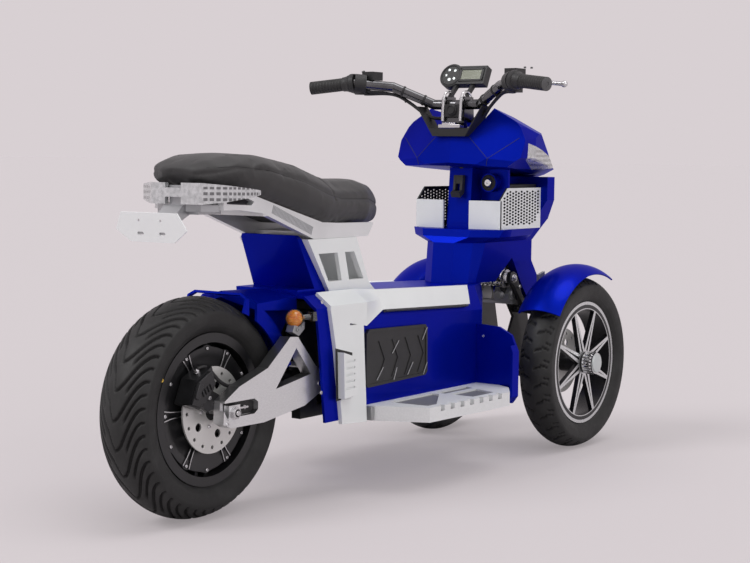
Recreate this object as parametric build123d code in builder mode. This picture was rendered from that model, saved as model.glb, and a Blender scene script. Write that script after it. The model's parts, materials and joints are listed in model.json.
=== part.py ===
from build123d import *
import os
from math import cos, radians, sin

# Three-wheeled electric scooter: two steered front wheels, one hub-motor rear wheel.
# Millimetres. +X forward, +Y left, +Z up, origin on the ground midway between the axles.

# Chassis stance
WHEELBASE = 1280.0
FRONT_TRACK = 436.0
REAR_AXLE_X = -WHEELBASE / 2
FRONT_AXLE_X = WHEELBASE / 2
SEAT_GAP = 0.3          # clearance left between a curved piece and its seat
RUNNING_GAP = 0.5       # radial clearance of a turning bore on its shaft

# Wheels: radii from the axle, widths across the tyre
REAR_TYRE_R = 236.0
REAR_TYRE_HALF = 66.0
FRONT_TYRE_R = 227.0
FRONT_TYRE_HALF = 46.0
BEAD_R = 150.0
FLANGE_R = 162.0
FLANGE_T = 4.0
BARREL_T = 8.0
REAR_RIM_HALF = 52.0
FRONT_RIM_HALF = 33.0
AXLE_R = 8.5
MOTOR_R = 112.0
MOTOR_HALF = 38.0
MOTOR_BOSS_R = 34.0
REAR_DISC_R = 92.0
REAR_DISC_Y = -56.0
FRONT_DISC_R = 86.0
DISC_T = 4.0

# Centre tunnel and rear housing
TUNNEL_X0 = -215.0
TUNNEL_X1 = 313.0
TUNNEL_HALF = 130.0
TUNNEL_FLOOR_Z = 180.0
TUNNEL_SHOULDER_Z = 386.0
TUNNEL_DECK_Z = 455.0
TUNNEL_DECK_HALF = 106.0
SHELL_T = 5.0
HOUSING_HALF = 140.0
TRIM_T = 10.0

# Steering
STEER_RAKE = 16.0
STEER_X = 388.0
BAR_Z = 905.0
KINGPIN_Y = 150.0
KINGPIN_RAKE = 12.0

REAR_AXLE_Z = REAR_TYRE_R
FRONT_AXLE_Z = FRONT_TYRE_R
WHEEL_Y = FRONT_TRACK / 2

os.makedirs("parts", exist_ok=True)


def save(builder, name):
    """Labels a finished piece and writes it."""
    builder.part.label = name
    export_step(builder.part, f"parts/{name}.step")


def side_plate(outline, y_low, y_high, mode=Mode.ADD):
    """A plate between two y values from an outline of (x, z) points."""
    with BuildSketch(Plane.XZ.offset(-y_low)) as profile:
        with BuildLine():
            Polyline(*outline, close=True)
        make_face()
    extrude(profile.sketch, amount=y_low - y_high, mode=mode)


def cross_block(outline, x_low, x_high, mode=Mode.ADD):
    """A block between two x values from an outline of (y, z) points."""
    with BuildSketch(Plane.YZ.offset(x_low)) as profile:
        with BuildLine():
            Polyline(*outline, close=True)
        make_face()
    extrude(profile.sketch, amount=x_high - x_low, mode=mode)


def level_plate(outline, z_low, z_high, mode=Mode.ADD):
    """A plate between two z values from an outline of (x, y) points."""
    with BuildSketch(Plane.XY.offset(z_low)) as profile:
        with BuildLine():
            Polyline(*outline, close=True)
        make_face()
    extrude(profile.sketch, amount=z_high - z_low, mode=mode)


def rod(start, end, radius, mode=Mode.ADD):
    """A round bar between two points."""
    along = Vector(*end) - Vector(*start)
    with BuildSketch(Plane(origin=start, z_dir=along)) as profile:
        Circle(radius)
    extrude(profile.sketch, amount=along.length, mode=mode)


def mirrored(half):
    """Closes a half outline of (y, z) points, given from top to bottom on +Y."""
    return half + [(-y, z) for y, z in reversed(half) if abs(y) > 1e-6]


def wheel_plane(x, y, z):
    """The plane in which a wheel's profile is drawn as (radius, y) points."""
    return Plane(origin=(x, y, z), x_dir=(1, 0, 0), z_dir=(0, 0, 1))


def tyre(centre, radius, half, rim_half):
    """A tyre with a round crown, its beads inside the rim's flanges."""
    shoulder = radius - 0.22 * half * 2
    waist = BEAD_R + 16
    bead = rim_half - FLANGE_T - SEAT_GAP
    with BuildSketch(wheel_plane(*centre)) as profile:
        with BuildLine():
            Polyline((waist, bead + 6), (FLANGE_R + 1, bead), (BEAD_R + SEAT_GAP, bead),
                     (BEAD_R + SEAT_GAP, -bead), (FLANGE_R + 1, -bead), (waist, -bead - 6))
            ThreePointArc((waist, -bead - 6), ((waist + shoulder) / 2, 1 - half), (shoulder, 1 - half))
            ThreePointArc((shoulder, 1 - half), (radius, 0), (shoulder, half - 1))
            ThreePointArc((shoulder, half - 1), ((waist + shoulder) / 2, half - 1), (waist, bead + 6))
        make_face()
    revolve(profile.sketch, axis=Axis(centre, (0, 1, 0)))


def rim_barrel(centre, half):
    """The rim's barrel with a flange at each edge."""
    inner = BEAD_R - BARREL_T
    with BuildSketch(wheel_plane(*centre)) as profile:
        with BuildLine():
            Polyline((inner, -half), (FLANGE_R, -half), (FLANGE_R, FLANGE_T - half),
                     (BEAD_R, FLANGE_T - half), (BEAD_R, half - FLANGE_T),
                     (FLANGE_R, half - FLANGE_T), (FLANGE_R, half), (inner, half), close=True)
        make_face()
    revolve(profile.sketch, axis=Axis(centre, (0, 1, 0)))


def drum(centre, r_outer, r_inner, y_low, y_high, mode=Mode.ADD):
    """A ring or disc about a wheel's axle, between two y values from its centre."""
    x, y, z = centre
    with BuildSketch(Plane.XZ.offset(-(y + y_low)).shift_origin((x, y + y_low, z))) as profile:
        Circle(r_outer)
        if r_inner > 0:
            Circle(r_inner, mode=Mode.SUBTRACT)
    extrude(profile.sketch, amount=y_low - y_high, mode=mode)


def wheel_face(centre, y_off):
    """The plane of a wheel's side, y_off from its centre, drawn as (x, z) points."""
    x, y, z = centre
    return Plane.XZ.offset(-(y + y_off)).shift_origin((x, y + y_off, z))


# Rear wheel
rear_centre = (REAR_AXLE_X, 0.0, REAR_AXLE_Z)
with BuildPart() as rear_tyre:
    tyre(rear_centre, REAR_TYRE_R, REAR_TYRE_HALF, REAR_RIM_HALF)
save(rear_tyre, "rear_tyre")

MOTOR_WEB_HALF = 7.0
MOTOR_RIB_T = 9.0
MOTOR_RIB_HALF = 26.0
with BuildPart() as rear_rim:
    rim_barrel(rear_centre, REAR_RIM_HALF)
    drum(rear_centre, MOTOR_R, 0, -MOTOR_HALF, MOTOR_HALF)
    drum(rear_centre, BEAD_R - BARREL_T + 1, MOTOR_R - 1, -MOTOR_WEB_HALF, MOTOR_WEB_HALF)
    drum(rear_centre, MOTOR_BOSS_R, 0, REAR_DISC_Y + DISC_T / 2, -REAR_DISC_Y)
    with BuildSketch(wheel_face(rear_centre, -MOTOR_RIB_HALF)):
        for pair_angle in (30, 90, 150, 210, 270, 330):
            with PolarLocations((BEAD_R - BARREL_T + MOTOR_R) / 2, 1, pair_angle - 6):
                Rectangle(BEAD_R - BARREL_T - MOTOR_R + 4, MOTOR_RIB_T)
            with PolarLocations((BEAD_R - BARREL_T + MOTOR_R) / 2, 1, pair_angle + 6):
                Rectangle(BEAD_R - BARREL_T - MOTOR_R + 4, MOTOR_RIB_T)
    extrude(amount=-2 * MOTOR_RIB_HALF)
    drum(rear_centre, AXLE_R + RUNNING_GAP, 0, -80, 80, mode=Mode.SUBTRACT)
save(rear_rim, "rear_rim")


def brake_disc(centre, radius, y_face, bolt_r, bore_r, holes):
    """A flat disc with a ring of cooling holes, its middle at y_face from the wheel centre."""
    with BuildSketch(wheel_face(centre, y_face - DISC_T / 2)) as profile:
        Circle(radius)
        Circle(bore_r, mode=Mode.SUBTRACT)
        with PolarLocations(radius - 13, holes):
            Circle(4, mode=Mode.SUBTRACT)
        with PolarLocations(bolt_r, 5):
            Circle(9, mode=Mode.SUBTRACT)
    extrude(profile.sketch, amount=-DISC_T)


with BuildPart() as rear_disc:
    brake_disc(rear_centre, REAR_DISC_R, REAR_DISC_Y, 54, MOTOR_BOSS_R - 12, 16)
save(rear_disc, "rear_disc")

# Front wheels: eight V-shaped spokes from a hub barrel that stands proud outboard
SPOKES = 8
SPOKE_T = 12.0
SPOKE_LEG_W = 7.0
SPOKE_SPREAD = 11.0
HUB_R = 28.0
HUB_OUT = 69.0
FRONT_DISC_Y = -34.0
HUB_IN = FRONT_DISC_Y + DISC_T / 2

with BuildSketch() as spoke:
    with BuildLine():
        Polyline((HUB_R, SPOKE_SPREAD + 2), (BEAD_R - 4, SPOKE_LEG_W / 2 + 1),
                 (BEAD_R - 4, -SPOKE_LEG_W / 2 - 1), (HUB_R, -SPOKE_SPREAD - 2),
                 (HUB_R, SPOKE_LEG_W - SPOKE_SPREAD), (BEAD_R - 24, 0),
                 (HUB_R, SPOKE_SPREAD - SPOKE_LEG_W), close=True)
    make_face()

for side, sign in (("left", 1), ("right", -1)):
    centre = (FRONT_AXLE_X, sign * WHEEL_Y, FRONT_AXLE_Z)
    with BuildPart() as front_tyre:
        tyre(centre, FRONT_TYRE_R, FRONT_TYRE_HALF, FRONT_RIM_HALF)
    save(front_tyre, f"front_tyre_{side}")

    with BuildPart() as front_rim:
        rim_barrel(centre, FRONT_RIM_HALF)
        face_low = sign * (FRONT_RIM_HALF - SPOKE_T / 2) - SPOKE_T / 2
        with BuildSketch(wheel_face(centre, face_low)):
            Circle(HUB_R + 4)
            with PolarLocations(0, SPOKES, 22.5):
                add(spoke.sketch)
        extrude(amount=-SPOKE_T)
        low, high = sorted((sign * HUB_IN, sign * HUB_OUT))
        drum(centre, HUB_R, 0, low, high)
        bore_low, bore_high = sorted((sign * (HUB_IN - 2), sign * (HUB_OUT - 8)))
        drum(centre, AXLE_R + RUNNING_GAP, 0, bore_low, bore_high, mode=Mode.SUBTRACT)
    save(front_rim, f"front_rim_{side}")

    with BuildPart() as front_disc:
        brake_disc(centre, FRONT_DISC_R, sign * FRONT_DISC_Y, 50, AXLE_R + 8, 14)
    save(front_disc, f"front_disc_{side}")

# Frame: rails under the battery, head tube, front subframe, swingarm pivot
RAIL_Y = 70.0
RAIL_W = 24.0
RAIL_Z = TUNNEL_FLOOR_Z + SHELL_T
RAIL_H = 26.0
RAIL_REAR_X = -372.0
RAIL_FRONT_X = 690.0
PIVOT_X = -346.0
PIVOT_Z = 266.0
PIVOT_R = 16.0
HEAD_TUBE_R = 24.0
HEAD_TUBE_TOP_Z = 842.0
HEAD_TUBE_LOW_Z = 470.0
SUBFRAME_HALF = 46.0
SUBFRAME_T = 8.0
SHOCK_X = 546.0
SHOCK_Z = 448.0
SHOCK_COIL_R = 22.0
steer_slope = sin(radians(STEER_RAKE)) / cos(radians(STEER_RAKE))


def steer_x(z):
    """Where the steering axis passes at a height."""
    return STEER_X + (BAR_Z - z) * steer_slope


with BuildPart() as main_frame:
    for sign in (1, -1):
        low, high = sorted((sign * (RAIL_Y - RAIL_W / 2), sign * (RAIL_Y + RAIL_W / 2)))
        side_plate([(RAIL_REAR_X, RAIL_Z), (330, RAIL_Z), (330, RAIL_Z + RAIL_H),
                    (RAIL_REAR_X, RAIL_Z + RAIL_H)], low, high)
        side_plate([(RAIL_REAR_X, RAIL_Z), (-312, RAIL_Z), (-312, 400), (-334, 428),
                    (RAIL_REAR_X, 428)], low, high)
        plate_low, plate_high = sorted((sign * SUBFRAME_HALF, sign * (SUBFRAME_HALF + SUBFRAME_T)))
        side_plate([(306, RAIL_Z), (690, RAIL_Z), (700, 240), (664, 380), (640, 470), (500, 520),
                    (474, 500), (600, 340), (560, 262), (306, RAIL_Z + RAIL_H)], plate_low, plate_high)
        low, high = sorted((sign * SUBFRAME_HALF, sign * (RAIL_Y + RAIL_W / 2)))
        side_plate([(306, RAIL_Z), (330, RAIL_Z), (330, RAIL_Z + RAIL_H), (306, RAIL_Z + RAIL_H)],
                   low, high)
    for x in (-300, 300):
        side_plate([(x, RAIL_Z), (x + 24, RAIL_Z), (x + 24, RAIL_Z + 20), (x, RAIL_Z + 20)],
                   -RAIL_Y, RAIL_Y)
    for x, z in ((600, RAIL_Z), (640, 440), (520, 480)):
        side_plate([(x, z), (x + 26, z), (x + 26, z + 20), (x, z + 20)],
                   -SUBFRAME_HALF - 1, SUBFRAME_HALF + 1)
    rod((steer_x(HEAD_TUBE_LOW_Z), 0, HEAD_TUBE_LOW_Z), (steer_x(HEAD_TUBE_TOP_Z), 0, HEAD_TUBE_TOP_Z),
        HEAD_TUBE_R)
    rod((PIVOT_X, -RAIL_Y, PIVOT_Z), (PIVOT_X, RAIL_Y, PIVOT_Z), PIVOT_R + 6)
    rod((SHOCK_X, -SUBFRAME_HALF - SUBFRAME_T - 1, SHOCK_Z), (SHOCK_X, SUBFRAME_HALF + SUBFRAME_T + 1, SHOCK_Z),
        SHOCK_COIL_R + 5, mode=Mode.SUBTRACT)
save(main_frame, "main_frame")

with BuildPart() as battery_block:
    side_plate([(-190, RAIL_Z + RAIL_H), (285, RAIL_Z + RAIL_H), (285, 425), (-190, 428)], -96, 96)
save(battery_block, "battery_block")

# Tunnel over the battery: its deck falls a little towards the front
DECK_REAR_Z = 462.0
DECK_FRONT_Z = 444.0
SHOULDER_DROP = 60.0


def deck_z(x):
    """The tunnel's deck height at a station."""
    return DECK_REAR_Z + (x - TUNNEL_X0) * (DECK_FRONT_Z - DECK_REAR_Z) / (TUNNEL_X1 - TUNNEL_X0)


def tunnel_section(x, inset):
    """The tunnel's outline at a station, moved in by a wall's thickness."""
    deck = deck_z(x)
    return mirrored([(0, deck - inset), (TUNNEL_DECK_HALF - 0.7 * inset, deck - inset),
                     (TUNNEL_HALF - inset, deck - SHOULDER_DROP),
                     (TUNNEL_HALF - inset, TUNNEL_FLOOR_Z + inset), (0, TUNNEL_FLOOR_Z + inset)])


def hull_through(stations, mode=Mode.ADD):
    """A ruled loft through (x, outline) stations, added or cut away."""
    sections = []
    for x, outline in stations:
        with BuildSketch(Plane.YZ.offset(x)) as section:
            with BuildLine():
                Polyline(*outline, close=True)
            make_face()
        sections.append(section.sketch)
    loft(sections, ruled=True, mode=mode)


PROW_X = 400.0
PROW_HALF = 77.0


def prow_section(inset):
    """The outline at the tunnel's front end, behind the front subframe."""
    return mirrored([(0, DECK_FRONT_Z - inset), (PROW_HALF - 6 - inset, DECK_FRONT_Z - inset),
                     (PROW_HALF - inset, DECK_FRONT_Z - 30), (PROW_HALF - inset, TUNNEL_FLOOR_Z + inset),
                     (0, TUNNEL_FLOOR_Z + inset)])


with BuildPart() as tunnel_cover:
    for inset, mode in ((0, Mode.ADD), (SHELL_T, Mode.SUBTRACT)):
        over = inset / SHELL_T
        hull_through([(TUNNEL_X0 - over, tunnel_section(TUNNEL_X0, inset)),
                      (TUNNEL_X1, tunnel_section(TUNNEL_X1, inset)), (PROW_X + over, prow_section(inset))],
                     mode=mode)
save(tunnel_cover, "tunnel_cover")

# Black knee pads on the tunnel's sides
PAD_T = 8.0
PAD_OUTLINE = [(-199, 246), (-190, 240), (45, 246), (54, 254), (52, 360), (44, 368), (-188, 374),
               (-199, 364)]
PAD_FIELD = [(-192, 251), (-186, 247), (41, 252), (47, 258), (45, 354), (40, 361), (-184, 367),
             (-192, 360)]
with BuildPart() as tunnel_pads:
    for sign in (1, -1):
        low, high = sorted((sign * TUNNEL_HALF, sign * (TUNNEL_HALF + PAD_T)))
        side_plate(PAD_OUTLINE, low, high)
        field_low, field_high = sorted((sign * (TUNNEL_HALF + PAD_T - 2), sign * (TUNNEL_HALF + PAD_T + 1)))
        side_plate(PAD_FIELD, field_low, field_high, mode=Mode.SUBTRACT)
        for x in (-150, -96, -42, 12):
            side_plate([(x, 256), (x + 24, 300), (x, 344), (x + 5, 344), (x + 29, 300), (x + 5, 256)],
                       low, high)
save(tunnel_pads, "tunnel_pads")

# Rear housing: an arch over the swingarm pivot, the panel behind the seat post, the inner fender
HOUSING_REAR_X = -392.0
HOUSING_CHAMFER_Z = 436.0
REAR_FENDER_R = REAR_TYRE_R + 14.0
REAR_FENDER_T = 5.0
REAR_FENDER_HALF = REAR_TYRE_HALF + 18.0
REAR_FENDER_TOP = 71.0
HUGGER_TIP = (-547.0, 478.0)
housing_outline = [(0, DECK_REAR_Z), (TUNNEL_DECK_HALF, DECK_REAR_Z), (HOUSING_HALF, HOUSING_CHAMFER_Z),
                   (HOUSING_HALF, TUNNEL_FLOOR_Z)]
housing_inner = [(HOUSING_HALF - 6, TUNNEL_FLOOR_Z), (HOUSING_HALF - 6, HOUSING_CHAMFER_Z - 4),
                 (TUNNEL_DECK_HALF - 2, DECK_REAR_Z - 6), (0, DECK_REAR_Z - 6)]
with BuildPart() as rear_body:
    arch = housing_outline + housing_inner
    cross_block(arch, HOUSING_REAR_X, TUNNEL_X0 - SEAT_GAP)
    cross_block([(-y, z) for y, z in arch], HOUSING_REAR_X, TUNNEL_X0 - SEAT_GAP)
    side_plate([(HOUSING_REAR_X - 1, TUNNEL_FLOOR_Z - 1), (-356, TUNNEL_FLOOR_Z - 1), (-378, 357),
                (HOUSING_REAR_X, 440)], -200, 200, mode=Mode.SUBTRACT)
    panel = mirrored([(0, 594), (75, 594), (81, 586), (88, 470), (86, 458), (0, 458)])
    cross_block(panel, HOUSING_REAR_X, -286)
    side_plate([(-280, DECK_REAR_Z), (-280, 600), (-379.7, 600), (-287.3, DECK_REAR_Z)], -200, 200,
               mode=Mode.SUBTRACT)
    side_plate([(-400, 600), (-400, DECK_REAR_Z + 12), (-331, DECK_REAR_Z + 12), (-391, 600)], -200, 200,
               mode=Mode.SUBTRACT)
    with BuildSketch(wheel_plane(*rear_centre)):
        with BuildLine():
            Polyline((REAR_FENDER_R - 38, -REAR_FENDER_HALF), (REAR_FENDER_R - 6, -REAR_FENDER_HALF),
                     (REAR_FENDER_R + REAR_FENDER_T, 18 - REAR_FENDER_HALF),
                     (REAR_FENDER_R + REAR_FENDER_T, REAR_FENDER_HALF - 18),
                     (REAR_FENDER_R - 6, REAR_FENDER_HALF), (REAR_FENDER_R - 38, REAR_FENDER_HALF),
                     (REAR_FENDER_R - 38, REAR_FENDER_HALF - REAR_FENDER_T),
                     (REAR_FENDER_R - 8, REAR_FENDER_HALF - REAR_FENDER_T),
                     (REAR_FENDER_R, REAR_FENDER_HALF - 21), (REAR_FENDER_R, 21 - REAR_FENDER_HALF),
                     (REAR_FENDER_R - 8, REAR_FENDER_T - REAR_FENDER_HALF),
                     (REAR_FENDER_R - 38, REAR_FENDER_T - REAR_FENDER_HALF), close=True)
        make_face()
    revolve(axis=Axis(rear_centre, (0, -1, 0)), revolution_arc=REAR_FENDER_TOP)
    side_plate([(-640, 230), (-380, 230), (-380, 320), (-640, 236)], -90, 90, mode=Mode.SUBTRACT)
    tip_x, tip_z = HUGGER_TIP
    hull_through([(tip_x, mirrored([(0, tip_z), (REAR_FENDER_HALF, 452), (REAR_FENDER_HALF, 440),
                                    (66, 446), (0, tip_z - 14)])),
                  (HOUSING_REAR_X + 2, mirrored([(0, tip_z - 4), (REAR_FENDER_HALF, 460),
                                                 (REAR_FENDER_HALF, 430), (66, 430), (0, 450)]))])
    level_plate([(tip_x - 5, 0), (tip_x - 5, 100), (tip_x + 26, 100)], 400, 500, mode=Mode.SUBTRACT)
    level_plate([(tip_x - 5, 0), (tip_x - 5, -100), (tip_x + 26, -100)], 400, 500, mode=Mode.SUBTRACT)
    side_plate([(-480, 440), (-424, 366), (-386, 420), (-386, 461), (-420, 461)], -60, 60)
save(rear_body, "rear_body")

# White side trim: a leg on the housing and a band along the tunnel's chamfer
BAND_DROP = 46.0
TRIM_LEG_X = -228.0
BAND_FRONT_X = 270.0
PEG_HINGE_Y = HOUSING_HALF + TRIM_T + SEAT_GAP
PEG_HINGE_Z = 232.0
PEG_HINGE_R = 5.0


def band_section(x):
    """The band's outline on the tunnel's chamfer at a station."""
    deck = deck_z(x)
    drop = BAND_DROP / SHOULDER_DROP
    low_y = TUNNEL_DECK_HALF + drop * (TUNNEL_HALF - TUNNEL_DECK_HALF)
    mid_y = TUNNEL_DECK_HALF + 22 / SHOULDER_DROP * (TUNNEL_HALF - TUNNEL_DECK_HALF) + 1.8
    return [(low_y + 0.3, deck - BAND_DROP), (low_y + TRIM_T, deck - BAND_DROP + 3),
            (TUNNEL_DECK_HALF + TRIM_T + 9, deck - 20), (TUNNEL_DECK_HALF + TRIM_T - 1, deck + 3),
            (TUNNEL_DECK_HALF + 0.3, deck), (mid_y, deck - 22)]


def leg_section(low_z):
    """The trim's outline on the housing, from its lower edge to the deck."""
    outer = HOUSING_HALF + TRIM_T
    return [(HOUSING_HALF, low_z), (outer, low_z), (outer, HOUSING_CHAMFER_Z + 4),
            (TUNNEL_DECK_HALF + 4, DECK_REAR_Z + 6), (TUNNEL_DECK_HALF, DECK_REAR_Z),
            (HOUSING_HALF, HOUSING_CHAMFER_Z)]


with BuildPart() as side_trim:
    side_plate([(-352, 432), (-280, 436), (-280, 392), (TRIM_LEG_X, 392), (-212, 166), (-306, 172),
                (-330, 338)], HOUSING_HALF, HOUSING_HALF + TRIM_T)
    hull_through([(-352, leg_section(430)), (-300, leg_section(400)),
                  (TUNNEL_X0 - SEAT_GAP, leg_section(386))])
    hull_through([(TUNNEL_X0 - SEAT_GAP, leg_section(386)), (-130, band_section(-130))])
    hull_through([(x, band_section(x)) for x in (-130, BAND_FRONT_X)])
    side_plate([(BAND_FRONT_X + 1, 470), (BAND_FRONT_X + 1, 380), (BAND_FRONT_X - 30, 380)],
               0, 200, mode=Mode.SUBTRACT)
    rod((-318, PEG_HINGE_Y, PEG_HINGE_Z), (-274, PEG_HINGE_Y, PEG_HINGE_Z), PEG_HINGE_R + RUNNING_GAP,
        mode=Mode.SUBTRACT)
    mirror(about=Plane.XZ)
save(side_trim, "side_trim")

# White seat post: an open frame of two sides, top and bottom beams and a middle web
POST_HALF = 98.0
POST_WALL = 15.0
POST_TOP_Z = 585.0
POST_FOOT_X = -112.0
POST_OUTLINE = [(-369, POST_TOP_Z), (-187, POST_TOP_Z), (-137, 479),
                (POST_FOOT_X, deck_z(POST_FOOT_X) + SEAT_GAP), (TUNNEL_X0, DECK_REAR_Z + SEAT_GAP),
                (-287, DECK_REAR_Z + SEAT_GAP)]
POST_WINDOW = [(-330, 552), (-196, 552), (-158, 488), (-292, 488)]
with BuildPart() as seat_post:
    side_plate(POST_OUTLINE, -POST_HALF, POST_HALF)
    side_plate(POST_WINDOW, -POST_HALF - 1, POST_HALF + 1, mode=Mode.SUBTRACT)
    side_plate([(-346, 570), (-192, 570), (-150, 480), (-296, 480)],
               -POST_HALF + POST_WALL, POST_HALF - POST_WALL, mode=Mode.SUBTRACT)
    side_plate([(-262, 562), (-234, 562), (-212, 478), (-240, 478)], -POST_HALF, -POST_HALF + 10)
    side_plate([(-262, 562), (-234, 562), (-212, 478), (-240, 478)], POST_HALF - 10, POST_HALF)
save(seat_post, "seat_post")

# Seat: x, half width, underside and top heights at each station
SEAT_STATIONS = [(-692, 46, 724, 745), (-666, 94, 712, 760), (-615, 116, 702, 769),
                 (-533, 130, 680, 767), (-406, 132, 646, 748), (-314, 124, 622, 724),
                 (-253, 114, 619, 711), (-121, 92, 617, 711), (-60, 60, 618, 707), (-34, 48, 622, 690),
                 (-22, 38, 630, 666)]

# Silver seat rail: two side beams that follow the seat's underside, joined by cross members
RAIL_SEAT_HALF = 96.0
RAIL_BEAM_T = 16.0
RAIL_TAIL_X = -650.0
RAIL_TAIL_Z = 655.0
with BuildPart() as seat_rail:
    rail_top = [(RAIL_TAIL_X, 700)] + [(x, low - SEAT_GAP) for x, half, low, high in SEAT_STATIONS
                                       if RAIL_TAIL_X < x < -120]
    rail_low = [(-121, 610), (-140, POST_TOP_Z + SEAT_GAP), (-345, POST_TOP_Z + SEAT_GAP),
                (-525, 647), (-600, RAIL_TAIL_Z), (RAIL_TAIL_X, RAIL_TAIL_Z)]
    for sign in (1, -1):
        low, high = sorted((sign * (RAIL_SEAT_HALF - RAIL_BEAM_T), sign * RAIL_SEAT_HALF))
        side_plate(rail_top + rail_low, low, high)
        side_plate([(-640, 668), (-560, 664), (-552, 672), (-600, 688), (-640, 692)], low, high,
                   mode=Mode.SUBTRACT)
    for x0, x1, z0, z1 in ((-335, -150, POST_TOP_Z + SEAT_GAP, 600), (-520, -490, 640, 654),
                           (RAIL_TAIL_X, RAIL_TAIL_X + 16, RAIL_TAIL_Z, 667)):
        side_plate([(x0, z0), (x1, z0), (x1, z1), (x0, z1)], 1 - RAIL_SEAT_HALF, RAIL_SEAT_HALF - 1)
save(seat_rail, "seat_rail")


def seat_section(half, low, high):
    """A rounded seat outline with a crowned top and tucked-under sides."""
    rise = high - low
    return mirrored([(0, high), (half * 0.62, high - 0.04 * rise), (half * 0.92, high - 0.24 * rise),
                     (half, high - 0.55 * rise), (half * 0.96, low + 0.2 * rise), (half * 0.82, low),
                     (0, low)])


with BuildPart() as seat_cushion:
    hull_through([(x, seat_section(half, low, high)) for x, half, low, high in SEAT_STATIONS])
save(seat_cushion, "seat_cushion")

# Tail: lamp wrapped round the seat's end, grey tray, plate bracket, blank plate
with BuildPart() as tail_light:
    lamp_outer = [(-598, 152), (-622, 149), (-662, 118), (-697, 62), (-699, 22)]
    lamp_inner = [(-688, 22), (-685, 58), (-654, 106), (-616, 131), (-598, 138)]
    level_plate(lamp_outer + lamp_inner, 667, 711.5)
    side_plate([(-597, 640), (-690, 667), (-690, 640)], 0, 200, mode=Mode.SUBTRACT)
    side_plate([(-597, 688), (-690, 667), (-597, 667)], 0, 200, mode=Mode.SUBTRACT)
    side_plate([(-597, 697), (-690, 711.5), (-690, 720), (-597, 720)], 0, 200, mode=Mode.SUBTRACT)
    mirror(about=Plane.XZ)
    level_plate([(-699, 22.5), (-699, -22.5), (-688, -22.5), (-688, 22.5)], 682, 701)
save(tail_light, "tail_light")

PLATE_X = -762.0
TRAY_Z = 655.0
with BuildPart() as tail_tray:
    tray_half = RAIL_SEAT_HALF - RAIL_BEAM_T - SEAT_GAP
    level_plate([(-540, tray_half), (-633.7, tray_half), (-633.7, -tray_half), (-540, -tray_half)],
                TRAY_Z, TRAY_Z + 10)
    level_plate([(-650.3, 84), (-680, 60), (-692, 30), (-692, -30), (-680, -60), (-650.3, -84)],
                TRAY_Z - 3, TRAY_Z + 11)
    level_plate([(-684, 56), (-612, 56), (-612, -56), (-684, -56)], TRAY_Z - 9, TRAY_Z - 0.3)
    level_plate([(-633, 56), (-612, 56), (-612, -56), (-633, -56)], TRAY_Z - 9, TRAY_Z + 1)
    side_plate([(-697, 665), (-667, 665), (-667, 650), (-742, 612), (-754, 616)], -26, 26)
    side_plate([(-741, 612), (-759.8, 606), (-767, 640), (-750, 640)], -60, 60)
    level_plate([(-687.7, 20), (-670, 20), (-670, -20), (-687.7, -20)], TRAY_Z + 5, 706)
    for sign in (1, -1):
        level_plate([(-612, sign * (RAIL_SEAT_HALF + SEAT_GAP)), (-600, sign * (RAIL_SEAT_HALF + SEAT_GAP)),
                     (-600, sign * 136.4), (-612, sign * 132.2)], 688, 695)
save(tail_tray, "tail_tray")

# Blank plate, its corners cut, leaning on the bracket
PLATE_TILT = 12.0
PLATE_T = 3.0
with BuildPart() as number_plate:
    with BuildSketch(Plane(origin=(PLATE_X - 1.5, 0, 622), x_dir=(0, 1, 0),
                           z_dir=(-cos(radians(PLATE_TILT)), 0, -sin(radians(PLATE_TILT))))):
        with BuildLine():
            Polyline((-98, 6), (-78, -30), (78, -30), (98, 6), (60, 32), (-60, 32), close=True)
        make_face()
        with Locations((-30, 14), (30, 14)):
            SlotOverall(18, 7, mode=Mode.SUBTRACT)
    extrude(amount=PLATE_T)
save(number_plate, "number_plate")

# Amber indicators on short stalks from the housing
INDICATOR = (-428.0, HOUSING_HALF - 32.0, 416.0)
with BuildPart() as indicators:
    for sign in (1, -1):
        with Locations((INDICATOR[0], sign * INDICATOR[1], INDICATOR[2])):
            Sphere(19)
        rod((INDICATOR[0], sign * INDICATOR[1], INDICATOR[2]), (-396, sign * (HOUSING_HALF - 10), 419), 7)
        low, high = sorted((sign * (HOUSING_HALF - 18), sign * HOUSING_HALF))
        side_plate([(-402, 410), (-387.3, 410), (-390.7, 430), (-402, 430)], low, high)
save(indicators, "indicators")

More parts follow.
